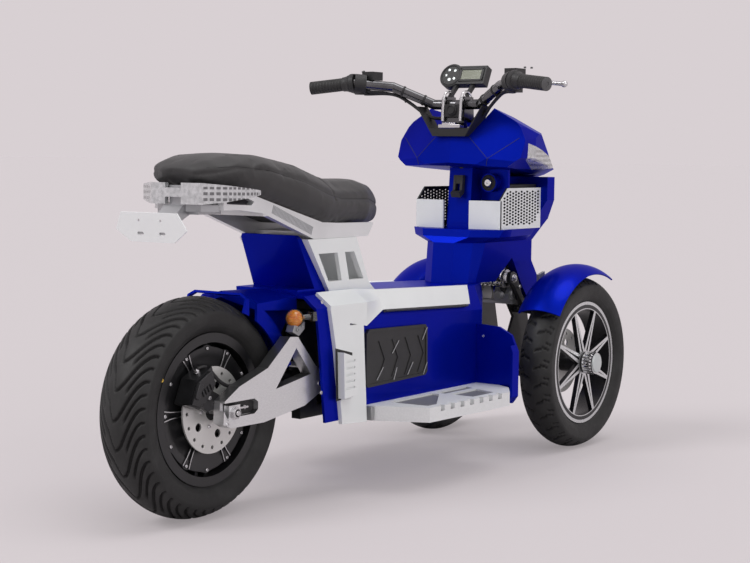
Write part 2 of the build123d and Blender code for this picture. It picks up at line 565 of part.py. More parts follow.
# Cast swingarm: a trussed arm each side of the wheel, a cross tube, and the axle
ARM_Y_IN = 88.0
ARM_Y_OUT = 116.0
ARM_OUTLINE = [(-668, 262), (-672, 214), (-648, 204), (-540, 203), (-400, 222), (-346, 244), (-326, 262),
               (-326, 288), (-360, 306), (-414, 364), (-424, 376), (-452, 378), (-466, 366), (-528, 318),
               (-622, 288)]
ARM_WINDOW = [(-430, 352), (-378, 290), (-500, 270)]
AXLE_SLOT = [(-680, 258), (-572, 258), (-560, 250), (-560, 234), (-572, 226), (-660, 226)]
AXLE_BLOCK = [(-658, 252), (-622, 252), (-622, 220), (-658, 220)]
SLOT_DEEP = 12.0
with BuildPart() as swingarm:
    for sign in (1, -1):
        low, high = sorted((sign * ARM_Y_IN, sign * ARM_Y_OUT))
        side_plate(ARM_OUTLINE, low, high)
        side_plate(ARM_WINDOW, low - 1, high + 1, mode=Mode.SUBTRACT)
        slot_low, slot_high = sorted((sign * (ARM_Y_OUT - SLOT_DEEP), sign * (ARM_Y_OUT + 1)))
        side_plate(AXLE_SLOT, slot_low, slot_high, mode=Mode.SUBTRACT)
        block_low, block_high = sorted((sign * (ARM_Y_OUT - SLOT_DEEP - 1), sign * (ARM_Y_OUT + 3)))
        side_plate(AXLE_BLOCK, block_low, block_high)
    rod((PIVOT_X, -ARM_Y_IN - 2, PIVOT_Z), (PIVOT_X, -RAIL_Y - RAIL_W / 2 - 0.3, PIVOT_Z), 20)
    rod((PIVOT_X, RAIL_Y + RAIL_W / 2 + 0.3, PIVOT_Z), (PIVOT_X, ARM_Y_IN + 2, PIVOT_Z), 20)
    rod((REAR_AXLE_X, -ARM_Y_OUT - 12, REAR_AXLE_Z), (REAR_AXLE_X, ARM_Y_OUT + 12, REAR_AXLE_Z), AXLE_R)
    rod((-383, -ARM_Y_IN - 2, 311), (-383, ARM_Y_IN + 2, 311), 9)
save(swingarm, "swingarm")

# Rear brake caliper straddling the disc
CALIPER_GAP = 2.5
with BuildPart() as rear_caliper:
    side_plate([(-744, 260), (-722, 310), (-676, 334), (-664, 296), (-684, 262), (-716, 248)],
               -ARM_Y_IN + 0.3, -45)
    drum(rear_centre, REAR_DISC_R + 3, 0, REAR_DISC_Y - DISC_T / 2 - CALIPER_GAP,
         REAR_DISC_Y + DISC_T / 2 + CALIPER_GAP, mode=Mode.SUBTRACT)
    side_plate([(-706, 252), (-680, 286), (-652, 272), (-646, 248), (-690, 240)], -ARM_Y_IN, 8 - ARM_Y_IN)
save(rear_caliper, "rear_caliper")

# Column cover: pedestal, shelf and the post in front of the rider's knees
SHELF_TOP_Z = 583.0
POST_COVER_HALF = 35.0
HEAD_BORE_R = HEAD_TUBE_R + 1.0
# Pedestal and shelf plans: height, then x and half width at the rear, side and front corners
COLUMN_PLANS = [(DECK_FRONT_Z + SEAT_GAP, 318, 30, 344, 66, 372, 72, 464, 76),
                (548, 330, 32, 361, 70, 400, 84, 600, 84),
                (564, 338, 70, 392, 130, 440, 134, 590, 110),
                (SHELF_TOP_Z, 342, 74, 399, 139, 440, 139, 600, 118)]


def plan_outline(x_rear, half_rear, x_side, half_side, x_wide, half_wide, x_front, half_front):
    """A symmetric plan outline from its corners on one side, as (x, y) points."""
    corners = [(x_rear, half_rear), (x_side, half_side), (x_wide, half_wide), (x_front, half_front)]
    return corners + [(x, -y) for x, y in reversed(corners)]


def rise_through(plans, mode=Mode.ADD):
    """A ruled loft through (z, plan) levels."""
    levels = []
    for plan in plans:
        with BuildSketch(Plane.XY.offset(plan[0])) as level:
            with BuildLine():
                Polyline(*plan_outline(*plan[1:]), close=True)
            make_face()
        levels.append(level.sketch)
    loft(levels, ruled=True, mode=mode)


with BuildPart() as column_cover:
    rise_through(COLUMN_PLANS)
    side_plate([(398, SHELF_TOP_Z - 2), (398, 600), (410, 741.8), (470, 737), (540, SHELF_TOP_Z - 2)],
               -POST_COVER_HALF, POST_COVER_HALF)
    rod((steer_x(440), 0, 440), (steer_x(760), 0, 760), HEAD_BORE_R, mode=Mode.SUBTRACT)
    side_plate([(440, 400), (700, 400), (700, 548), (440, 548)], -SUBFRAME_HALF - SUBFRAME_T - 1,
               SUBFRAME_HALF + SUBFRAME_T + 1, mode=Mode.SUBTRACT)
save(column_cover, "column_cover")

# Head cowl: the faceted cover round the bars, cut from its side, plan and rear outlines
COWL_SIDE = [(345, 757), (345, 900), (500, 900), (640, 790), (712, 700), (660, 722), (364, 746)]
COWL_PLAN = [(345, 110), (381, 193), (470, 188), (640, 150), (712, 66), (712, -66), (640, -150),
             (470, -188), (381, -193), (345, -110)]
COWL_REAR = mirrored([(0, 896), (109, 896), (138, 881), (173, 847), (192, 812), (189, 768), (150, 740),
                      (0, 700)])
# Cutting planes by three points each: crown, upper flank, lower flank, rear facets
COWL_CUTS = {
    "crown": ((382, 109, 896), (380, 138, 881), (572, 130, 841)),
    "front_flank": ((567, 150, 829), (635, 150, 737), (637, 110, 830)),
    "rear_low": ((347, 0, 823), (361, 104, 766), (365, 50, 824)),
    "rear_high": ((365, 50, 824), (361, 104, 766), (382, 109, 896)),
    "rear_side": ((361, 104, 766), (381, 193, 802), (370, 170, 824)),
}


def cut_by(points):
    """Keeps the side of a three-point plane that holds the cowl's middle, on both sides."""
    middle = Vector(480, 0, 790)
    for sign in (1, -1):
        a, b, c = [Vector(x, sign * y, z) for x, y, z in points]
        normal = (b - a).cross(c - a).normalized()
        if normal.dot(middle - a) < 0:
            normal = -normal
        split(bisect_by=Plane(origin=a, z_dir=normal), keep=Keep.TOP)


LAMP_SIDE = [(427, 806), (525, 789), (600, 770), (640, 742), (524, 737), (426, 764)]
LENS_FRONT = [(-48, 734), (48, 734), (38, 768), (-38, 768)]
STEM_WELL = [(-101, 900), (-50, 822), (50, 822), (101, 900)]


def cowl_solid():
    """The cowl's outer form, before its well and lamp pockets are cut."""
    with BuildPart() as form:
        side_plate(COWL_SIDE, -200, 200)
        with BuildSketch(Plane.XY.offset(690)) as plan:
            with BuildLine():
                Polyline(*COWL_PLAN, close=True)
            make_face()
        extrude(plan.sketch, amount=220, mode=Mode.INTERSECT)
        with BuildSketch(Plane.YZ.offset(340)) as rear:
            with BuildLine():
                Polyline(*COWL_REAR, close=True)
            make_face()
        extrude(rear.sketch, amount=380, mode=Mode.INTERSECT)
        for points in COWL_CUTS.values():
            cut_by(points)
    return form.part


cowl_form = cowl_solid()
with BuildPart() as head_cowl:
    add(cowl_form)
    cross_block(STEM_WELL, 340, 540, mode=Mode.SUBTRACT)
    rod((steer_x(700), 0, 700), (steer_x(900), 0, 900), HEAD_BORE_R, mode=Mode.SUBTRACT)
    for sign in (1, -1):
        low, high = sorted((sign * 135, sign * 200))
        side_plate(LAMP_SIDE, low, high, mode=Mode.SUBTRACT)
    cross_block(LENS_FRONT, 652, 730, mode=Mode.SUBTRACT)
save(head_cowl, "head_cowl")

with BuildPart() as headlamps:
    add(cowl_form)
    with BuildPart(mode=Mode.PRIVATE) as lamp_zone:
        for sign in (1, -1):
            low, high = sorted((sign * 135, sign * 200))
            side_plate(LAMP_SIDE, low, high)
        cross_block(LENS_FRONT, 652, 730)
    add(lamp_zone.part, mode=Mode.INTERSECT)
save(headlamps, "headlamps")

# Front cowl: narrow shell ahead of the column, with a beak between the wheels
FRONT_COWL_SIDE = [(602.3, SHELF_TOP_Z + SEAT_GAP), (602.3, 718), (655, 718), (712, 700), (706, 655), (668, 601),
                   (645, 547), (648, 492), (708, 431), (700, 404), (660, 384), (613, 426),
                   (543, 503.5), (602.3, 549.5)]
FRONT_COWL_FRONT = mirrored([(0, 720), (150, 720), (150, 657), (112, 601), (80, 547), (78, 492), (70, 431),
                             (62, 380), (0, 380)])
with BuildPart() as front_cowl:
    side_plate(FRONT_COWL_SIDE, -160, 160)
    cross_block(FRONT_COWL_FRONT, 530, 730, mode=Mode.INTERSECT)
    level_plate(COWL_PLAN, 370, 730, mode=Mode.INTERSECT)
    side_plate([(500, 370), (690, 370), (690, 440), (640, 548), (500, 548)], -SUBFRAME_HALF - SUBFRAME_T - 1,
               SUBFRAME_HALF + SUBFRAME_T + 1, mode=Mode.SUBTRACT)
save(front_cowl, "front_cowl")

# White vents: a plain rear plate and a grille along each side
VENT_T = 6.0
with BuildPart() as side_vents:
    side_plate([(395, SHELF_TOP_Z + 0.3), (395, 657), (430, 690), (601.7, 690), (601.7, SHELF_TOP_Z + 0.3)],
               124, 124 + VENT_T)
    level_plate([(386, 40), (392, 40), (401, 124), (401, 130), (395, 130)], SHELF_TOP_Z + 0.3, 657)
    mirror(about=Plane.XZ)
save(side_vents, "side_vents")

# Key lock on its panel, bag hook on the post
with BuildPart() as lock_panel:
    side_plate([(452, 657), (452, 738), (460, 738), (460, 657)], -118, -POST_COVER_HALF - 0.3)
    with BuildSketch(Plane.YZ.offset(452)) as lock_ring:
        with Locations((-72, 703)):
            Circle(24)
    extrude(lock_ring.sketch, amount=-22)
save(lock_panel, "lock_panel")

HOOK_LEG = [(408, 722), (404.1, 676), (386, 664), (380, 676), (392, 684), (396, 722)]
with BuildPart() as bag_hook:
    for low, high in ((-14, -7), (7, 14)):
        side_plate(HOOK_LEG, low, high)
    side_plate([(408, 722), (406.1, 700), (395, 700), (396, 722)], -14, 14)
    side_plate([(386, 664), (394, 669), (387, 681), (380, 676)], -14, 14)
save(bag_hook, "bag_hook")

# Leg shields behind the front wheels, footboards between them and the trim
SHIELD_X = 288.0
SHIELD_T = 8.0
with BuildPart() as leg_shields:
    for sign in (1, -1):
        outline = [(130.3, 160), (236, 157), (250, 176), (250, 288), (232, 328), (196, 346), (130.3, 350)]
        cross_block([(sign * y, z) for y, z in outline], SHIELD_X, SHIELD_X + SHIELD_T)
        lip = [(243, 166), (250, 176), (250, 288), (243, 304)]
        cross_block([(sign * y, z) for y, z in lip], SHIELD_X - 22, SHIELD_X + 1)
save(leg_shields, "leg_shields")

BOARD_TOP_Z = 200.0
BOARD_T = 34.0
BOARD_PLAN = [(-196, 130.3), (-190, 157), (-135, 271), (199, 283), (SHIELD_X - 22.5, 240),
              (SHIELD_X - 0.3, 200), (SHIELD_X - 0.3, 130.3)]
BOARD_POCKETS = [[(-120, 148), (60, 148), (60, 168), (-76, 250), (-112, 250)],
                 [(76, 148), (214, 148), (200, 176), (76, 176)],
                 [(76, 190), (192, 190), (170, 256), (76, 254)]]
with BuildPart() as footboards:
    for sign in (1, -1):
        level_plate([(x, sign * y) for x, y in BOARD_PLAN], BOARD_TOP_Z - BOARD_T, BOARD_TOP_Z)
        for pocket in BOARD_POCKETS:
            level_plate([(x, sign * y) for x, y in pocket], BOARD_TOP_Z - 4, BOARD_TOP_Z + 1,
                        mode=Mode.SUBTRACT)
        for i in range(7):
            x = -92 + 40 * i
            level_plate([(x, sign * (264 + 0.036 * x)), (x + 16, sign * (264 + 0.036 * x)),
                         (x + 16, sign * 290), (x, sign * 290)], BOARD_TOP_Z - 12, BOARD_TOP_Z + 1,
                        mode=Mode.SUBTRACT)
save(footboards, "footboards")

# Handlebar, turning with the stem about the raked steering axis
BAR_R = 13.0
GRIP_R = 17.0
stem_foot = (steer_x(HEAD_TUBE_TOP_Z + 0.3), 0, HEAD_TUBE_TOP_Z + 0.3)
GRIP_IN = (262.0, 248.0, 958.0)
GRIP_OUT = (227.0, 351.0, 946.0)
BAR_PATH = [GRIP_OUT, GRIP_IN, (330, 165, 950), (384, 70, BAR_Z), (STEER_X, 0, BAR_Z - 1)]
with BuildPart() as handlebar:
    rod(stem_foot, (STEER_X, 0, BAR_Z), 17)
    for sign in (1, -1):
        points = [Vector(x, sign * y, z) for x, y, z in BAR_PATH]
        for a, b in zip(points, points[1:]):
            rod(tuple(a), tuple(b), BAR_R)
        for point in points[1:-1]:
            with Locations(tuple(point)):
                Sphere(BAR_R)
    side_plate([(366, 866), (414, 866), (410, 924), (370, 924)], -34, -20)
    side_plate([(366, 866), (414, 866), (410, 924), (370, 924)], 20, 34)
    side_plate([(366, 858), (420, 858), (418, 872), (368, 872)], -34, 34)
save(handlebar, "handlebar")

# Grips, switch housings and levers, dash display
with BuildPart() as grips:
    for sign in (1, -1):
        inner = Vector(GRIP_IN[0], sign * GRIP_IN[1], GRIP_IN[2])
        outer = Vector(GRIP_OUT[0], sign * GRIP_OUT[1], GRIP_OUT[2])
        along = (outer - inner).normalized()
        rod(tuple(inner + along * 4), tuple(outer + along * 4), GRIP_R)
        rod(tuple(inner), tuple(outer + along * 0.01), BAR_R + 0.3, mode=Mode.SUBTRACT)
save(grips, "grips")

# Switch box and brake reservoir beside each grip: size, then the shift from the housing's middle
CONTROL_BOXES = [((34, 26, 38), (10, 0, -8)), ((46, 34, 22), (34, -14, 22)), ((20, 18, 26), (28, -8, 8))]
with BuildPart() as bar_controls:
    for sign in (1, -1):
        inner = Vector(GRIP_IN[0], sign * GRIP_IN[1], GRIP_IN[2])
        outer = Vector(GRIP_OUT[0], sign * GRIP_OUT[1], GRIP_OUT[2])
        along = (outer - inner).normalized()
        elbow = Vector(BAR_PATH[2][0], sign * BAR_PATH[2][1], BAR_PATH[2][2])
        inward = (elbow - inner).normalized()
        rod(tuple(inner + inward * 36), tuple(inner + inward * 6), 26)
        rod(tuple(inner + inward * 40), tuple(inner - inward * 2), BAR_R + 0.3, mode=Mode.SUBTRACT)
        housing = inner + inward * 22
        for size, shift in CONTROL_BOXES:
            with Locations(tuple(housing + Vector(shift[0], sign * shift[1], shift[2]))):
                Box(*size)
        rod(tuple(inner + inward * 60), tuple(inner - inward * 2), BAR_R + 0.3, mode=Mode.SUBTRACT)
        pivot = inner + inward * 20 + Vector(34, 0, 4)
        rod(tuple(inner + inward * 20 + Vector(25, 0, 3)), tuple(pivot), 8)
        tip = Vector(330, sign * 345, 950)
        rod(tuple(pivot), tuple(tip), 5)
        with Locations(tuple(tip)):
            Sphere(8)
save(bar_controls, "bar_controls")

DASH = (436.0, 0.0, 978.0)
DASH_LEAN = 25.0
with BuildPart() as dash_display:
    with BuildSketch(Plane(origin=DASH, x_dir=(0, 1, 0), z_dir=(-cos(radians(DASH_LEAN)), 0,
                                                              sin(radians(DASH_LEAN))))) as dash_face:
        Rectangle(120, 52)
        with Locations((46, 0)):
            Circle(34)
    extrude(dash_face.sketch, amount=12, both=True)
    fillet(dash_display.edges().filter_by(GeomType.CIRCLE), 3)
    for sign in (1, -1):
        low, high = sorted((sign * 21, sign * 29))
        side_plate([(382, 924.3), (398, 924.3), (440, 962), (428, 968)], low, high)
save(dash_display, "dash_display")

# Front suspension: leaning parallelogram arms, tie rods and a cross-mounted shock
KINGPIN_TOP_Z = 322.0
KINGPIN_LOW_Z = 176.0
BALL_R = 13.0
BALL_DROP = 28.0
kingpin_slope = sin(radians(KINGPIN_RAKE)) / cos(radians(KINGPIN_RAKE))


def kingpin_x(z):
    """Where the kingpin axis passes at a height."""
    return FRONT_AXLE_X + (FRONT_AXLE_Z - z) * kingpin_slope


ARM_PIVOT_Y = SUBFRAME_HALF + SUBFRAME_T
with BuildPart() as suspension_arms:
    for sign in (1, -1):
        for z_in, z_out, x_front, x_rear in ((196, KINGPIN_LOW_Z - BALL_DROP, 672, 584),
                                             (362, KINGPIN_TOP_Z + BALL_DROP, 652, 604)):
            ball = (kingpin_x(z_out), sign * KINGPIN_Y, z_out)
            for x in (x_front, x_rear):
                rod((x, sign * (ARM_PIVOT_Y + 9), z_in), ball, 8)
                rod((x, sign * (ARM_PIVOT_Y + 0.3), z_in), (x, sign * (ARM_PIVOT_Y + 15), z_in), 11)
            with Locations(ball):
                Sphere(BALL_R)
save(suspension_arms, "suspension_arms")

with BuildPart() as front_shock:
    rod((SHOCK_X, -84, SHOCK_Z), (SHOCK_X, 84, SHOCK_Z), 9)
    for i in range(7):
        y = -51 + 17 * i
        rod((SHOCK_X, y - 3, SHOCK_Z), (SHOCK_X, y + 3, SHOCK_Z), SHOCK_COIL_R)
    for low, high in ((-84, -70), (70, 84)):
        side_plate([(598, 369.6), (610, 369.6), (562, 460), (534, 464), (532, 436), (548, 428)], low, high)
save(front_shock, "front_shock")

CALIPER_OUTLINE = [(534, 196), (574, 204), (582, 246), (566, 272), (540, 262)]
# Knuckles with their stub axles, fenders that turn with them
KNUCKLE_HALF = 13.0
FRONT_FENDER_R = FRONT_TYRE_R + 30.0
FRONT_FENDER_T = 4.0
FRONT_FENDER_HALF = FRONT_TYRE_HALF + 12.0
FRONT_FENDER_FRONT = 66.0
FRONT_FENDER_ARC = 78.0
for side, sign in (("left", 1), ("right", -1)):
    with BuildPart() as knuckle:
        disc_y = sign * (WHEEL_Y + FRONT_DISC_Y)
        low, high = sorted((disc_y - sign * 20, disc_y + sign * 12))
        side_plate(CALIPER_OUTLINE, low, high)
        drum((FRONT_AXLE_X, disc_y, FRONT_AXLE_Z), FRONT_DISC_R + 3, 0, -DISC_T / 2 - CALIPER_GAP,
             DISC_T / 2 + CALIPER_GAP, mode=Mode.SUBTRACT)
        low, high = sorted((sign * (KINGPIN_Y + 4), disc_y - sign * 14))
        side_plate([(640, 250), (640, 226), (566, 206), (556, 244)], low, high)
        rod((kingpin_x(KINGPIN_LOW_Z), sign * KINGPIN_Y, KINGPIN_LOW_Z),
            (kingpin_x(KINGPIN_TOP_Z), sign * KINGPIN_Y, KINGPIN_TOP_Z), KNUCKLE_HALF)
        stud_low = KINGPIN_LOW_Z - BALL_DROP + BALL_R + SEAT_GAP
        stud_top = KINGPIN_TOP_Z + BALL_DROP - BALL_R - SEAT_GAP
        rod((kingpin_x(stud_low), sign * KINGPIN_Y, stud_low),
            (kingpin_x(stud_top), sign * KINGPIN_Y, stud_top), 6)
        rod((FRONT_AXLE_X, sign * (KINGPIN_Y - 4), FRONT_AXLE_Z),
            (FRONT_AXLE_X, sign * (WHEEL_Y + FRONT_DISC_Y - DISC_T / 2 - 3), FRONT_AXLE_Z), 22)
        rod((FRONT_AXLE_X, sign * (KINGPIN_Y - 4), FRONT_AXLE_Z),
            (FRONT_AXLE_X, sign * (WHEEL_Y + HUB_OUT - 10), FRONT_AXLE_Z), AXLE_R)
        stay_y = WHEEL_Y - FRONT_FENDER_HALF - FRONT_FENDER_T - SEAT_GAP
        low, high = sorted((sign * (stay_y - 8), sign * stay_y))
        stay_top = FRONT_AXLE_Z + FRONT_FENDER_R - 16
        side_plate([(640, 214), (640, 242), (600, 268), (590, 330), (586, stay_top), (556, stay_top - 8),
                    (566, 320), (580, 250)], low, high)
    save(knuckle, f"knuckle_{side}")

    with BuildPart() as front_fender:
        centre = (FRONT_AXLE_X, sign * WHEEL_Y, FRONT_AXLE_Z)
        with BuildSketch(wheel_plane(*centre)) as shell:
            with BuildLine():
                ThreePointArc((FRONT_FENDER_R - 22, -FRONT_FENDER_HALF), (FRONT_FENDER_R, 0),
                              (FRONT_FENDER_R - 22, FRONT_FENDER_HALF))
                Line((FRONT_FENDER_R - 22, FRONT_FENDER_HALF),
                     (FRONT_FENDER_R - 20, FRONT_FENDER_HALF + FRONT_FENDER_T))
                ThreePointArc((FRONT_FENDER_R - 20, FRONT_FENDER_HALF + FRONT_FENDER_T),
                              (FRONT_FENDER_R + FRONT_FENDER_T, 0),
                              (FRONT_FENDER_R - 20, -FRONT_FENDER_HALF - FRONT_FENDER_T))
                Line((FRONT_FENDER_R - 20, -FRONT_FENDER_HALF - FRONT_FENDER_T),
                     (FRONT_FENDER_R - 22, -FRONT_FENDER_HALF))
            make_face()
        turned = shell.sketch.rotate(Axis(centre, (0, -1, 0)), FRONT_FENDER_FRONT)
        revolve(turned, axis=Axis(centre, (0, -1, 0)), revolution_arc=FRONT_FENDER_ARC)
    save(front_fender, f"front_fender_{side}")

# Fold-out passenger pegs on the trim's legs, hinged on a pin along their lower edge
PEG_T = 17.7
for side, sign in (("left", 1), ("right", -1)):
    with BuildPart() as peg:
        low, high = sorted((sign * PEG_HINGE_Y, sign * (PEG_HINGE_Y + PEG_T)))
        side_plate([(-322, PEG_HINGE_Z), (-274, 238), (-279, 322), (-326, 336)], low, high)
        tread_low, tread_high = sorted((sign * (PEG_HINGE_Y + PEG_T - 3), sign * (PEG_HINGE_Y + PEG_T + 1)))
        for i in range(5):
            z = 252 + 15 * i
            side_plate([(-316, z), (-283, z + 1), (-283, z + 6), (-317, z + 5)], tread_low, tread_high,
                       mode=Mode.SUBTRACT)
        rod((-312, sign * PEG_HINGE_Y, PEG_HINGE_Z), (-280, sign * PEG_HINGE_Y, PEG_HINGE_Z), PEG_HINGE_R)
    save(peg, f"passenger_peg_{side}")

# Finned controller under the housing and the rear shock beside it
with BuildPart() as heat_sink:
    level_plate([(-340, -57.7), (-300, -57.7), (-300, 57.7), (-340, 57.7)], 300, 420)
    for i in range(9):
        y = -52 + 13 * i
        level_plate([(-368, y - 2), (-339, y - 2), (-339, y + 2), (-368, y + 2)], 304, 416)
save(heat_sink, "heat_sink")
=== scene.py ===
import json
import math

import bmesh
import bpy
import numpy as np
from mathutils import Matrix, Vector
from mathutils.bvhtree import BVHTree


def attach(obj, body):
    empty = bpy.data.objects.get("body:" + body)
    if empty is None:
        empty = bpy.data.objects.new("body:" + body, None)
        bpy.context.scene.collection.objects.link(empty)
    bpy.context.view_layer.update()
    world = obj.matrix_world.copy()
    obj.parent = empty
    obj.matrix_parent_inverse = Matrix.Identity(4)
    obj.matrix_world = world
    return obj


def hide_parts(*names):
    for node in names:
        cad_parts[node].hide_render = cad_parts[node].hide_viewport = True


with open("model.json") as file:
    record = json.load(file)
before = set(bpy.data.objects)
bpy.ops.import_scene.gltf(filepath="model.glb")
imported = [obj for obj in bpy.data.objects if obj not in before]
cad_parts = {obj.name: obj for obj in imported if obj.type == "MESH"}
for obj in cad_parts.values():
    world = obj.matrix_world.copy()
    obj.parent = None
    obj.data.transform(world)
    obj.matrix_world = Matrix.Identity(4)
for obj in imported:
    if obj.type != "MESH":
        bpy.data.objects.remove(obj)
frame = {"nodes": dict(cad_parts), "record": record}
NODES = frame["nodes"]
SLOTS = {entry["node"]: entry["material_slot"] for entry in frame["record"]["subparts"]}
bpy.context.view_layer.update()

# The wheels' middles as (x, z), and the front wheels' distance from the middle, in millimetres
REAR_HUB = (-640, 236)
FRONT_HUB = (640, 227)
TRACK_HALF = 218

# The photograph's camera, in metres and degrees in the part's frame
CAMERA_AT = (-3.2089, -2.2977, 0.7742)
CAMERA_YAW = 35.39
CAMERA_PITCH = -4.46
CAMERA_ROLL = 0.6
FOCAL_PX = 1632.7
PHOTO_WIDTH_PX = 750
SENSOR_MM = 36.0
FAR_CLIP = 400

# Studio: tones, the floor's half width in metres, and lamps as name, aim, power, spread in degrees
BACKDROP = (0.687, 0.631, 0.651)
FLOOR_TONE = (0.578, 0.531, 0.548)
FLOOR_GLOW = 0.38        # share of the backdrop's colour that the camera sees in the floor, shadows and all
FLOOR_HALF = 150.0
WORLD_LOW, WORLD_HIGH = 0.27, 0.80
SUNS = [("overhead", (-0.15, 0.25, -1.0), 0.75, 34), ("key", (0.75, -0.40, -0.80), 1.15, 22),
        ("fill", (0.30, 0.85, -0.45), 0.55, 40)]
LAMP_DISTANCE = 5


def link(thing):
    bpy.context.scene.collection.objects.link(thing)
    return thing


def baked(thing):
    """An object's mesh with its modifiers applied, as new data."""
    return bpy.data.meshes.new_from_object(thing.evaluated_get(bpy.context.evaluated_depsgraph_get()))


def add_camera():
    """A camera that turns from +X by yaw, tips by pitch and leans by roll."""
    yaw, pitch, roll = (math.radians(a) for a in (CAMERA_YAW, CAMERA_PITCH, CAMERA_ROLL))
    forward = Vector((math.cos(pitch) * math.cos(yaw), math.cos(pitch) * math.sin(yaw), math.sin(pitch)))
    level_right = Vector((math.sin(yaw), -math.cos(yaw), 0))
    level_up = level_right.cross(forward)
    right = math.cos(roll) * level_right + math.sin(roll) * level_up
    up = math.cos(roll) * level_up - math.sin(roll) * level_right
    data = bpy.data.cameras.new("photo_camera")
    data.sensor_width = SENSOR_MM
    data.sensor_fit = "HORIZONTAL"
    data.lens = FOCAL_PX / PHOTO_WIDTH_PX * SENSOR_MM
    data.clip_end = FAR_CLIP
    camera = link(bpy.data.objects.new("photo_camera", data))
    camera.matrix_world = Matrix.Translation(CAMERA_AT) @ Matrix((right, up, -forward)).transposed().to_4x4()
    bpy.context.scene.camera = camera


def plug(tree, socket, value):
    """Puts another node's output, or a plain value, into a socket."""
    if isinstance(value, bpy.types.NodeSocket):
        tree.links.new(value, socket)
    else:
        socket.default_value = value


def shader_node(tree, kind, sockets, **settings):
    """A shader node with its settings, and with sockets filled by name or number."""
    node = tree.nodes.new("ShaderNode" + kind)
    for key, value in settings.items():
        setattr(node, key, value)
    for key, value in sockets.items():
        plug(tree, node.inputs[key], value)
    return node


def add_stage():
    """A wide pale floor that meets the backdrop's colour at the horizon."""
    mesh = bpy.data.meshes.new("floor")
    corners = [(x * FLOOR_HALF, y * FLOOR_HALF, 0) for x, y in ((-1, -1), (1, -1), (1, 1), (-1, 1))]
    mesh.from_pydata(corners, [], [(0, 1, 2, 3)])
    link(bpy.data.objects.new("floor", mesh))
    paper = bpy.data.materials.new("paper")
    paper.use_nodes = True
    tree = paper.node_tree
    shader = tree.nodes["Principled BSDF"]
    for name, value in (("Base Color", (*FLOOR_TONE, 1)), ("Roughness", 0.95), ("Specular IOR Level", 0.0)):
        shader.inputs[name].default_value = value
    glow = shader_node(tree, "Emission", {"Color": (*BACKDROP, 1)})
    path = shader_node(tree, "LightPath", {})
    share = shader_node(tree, "Math", {0: path.outputs["Is Camera Ray"], 1: FLOOR_GLOW}, operation="MULTIPLY")
    mix = shader_node(tree, "MixShader", {0: share.outputs[0], 1: shader.outputs[0], 2: glow.outputs[0]})
    plug(tree, tree.nodes["Material Output"].inputs["Surface"], mix.outputs[0])
    mesh.materials.append(paper)


def add_lights():
    """Soft distant lamps, and a world that shows the backdrop to the camera and to reflections."""
    world = bpy.data.worlds.new("studio")
    bpy.context.scene.world = world
    world.use_nodes = True
    tree = world.node_tree
    sky = shader_node(tree, "TexCoord", {})
    height = shader_node(tree, "SeparateXYZ", {0: sky.outputs["Generated"]})
    rise = shader_node(tree, "MapRange", {"Value": height.outputs["Z"], "To Min": WORLD_LOW, "To Max": WORLD_HIGH})
    light = tree.nodes["Background"]
    light.inputs["Color"].default_value = (1, 1, 1, 1)
    plug(tree, light.inputs["Strength"], rise.outputs[0])
    seen = shader_node(tree, "Background", {"Color": (*BACKDROP, 1)})
    path = shader_node(tree, "LightPath", {}).outputs
    shown = path["Is Camera Ray"]
    for ray in ("Is Transmission Ray", "Is Glossy Ray"):
        shown = shader_node(tree, "Math", {0: shown, 1: path[ray]}, operation="MAXIMUM").outputs[0]
    mix = shader_node(tree, "MixShader", {0: shown, 1: light.outputs[0], 2: seen.outputs[0]})
    plug(tree, tree.nodes["World Output"].inputs["Surface"], mix.outputs[0])
    for name, aim, power, spread in SUNS:
        data = bpy.data.lights.new(name, "SUN")
        data.energy = power
        data.angle = math.radians(spread)
        lamp = link(bpy.data.objects.new(name, data))
        lamp.rotation_mode = "QUATERNION"
        lamp.rotation_quaternion = Vector(aim).to_track_quat("-Z", "Y")
        lamp.location = Vector(aim) * -LAMP_DISTANCE


bpy.context.scene.view_settings.view_transform = "Standard"
add_camera()
add_stage()
add_lights()


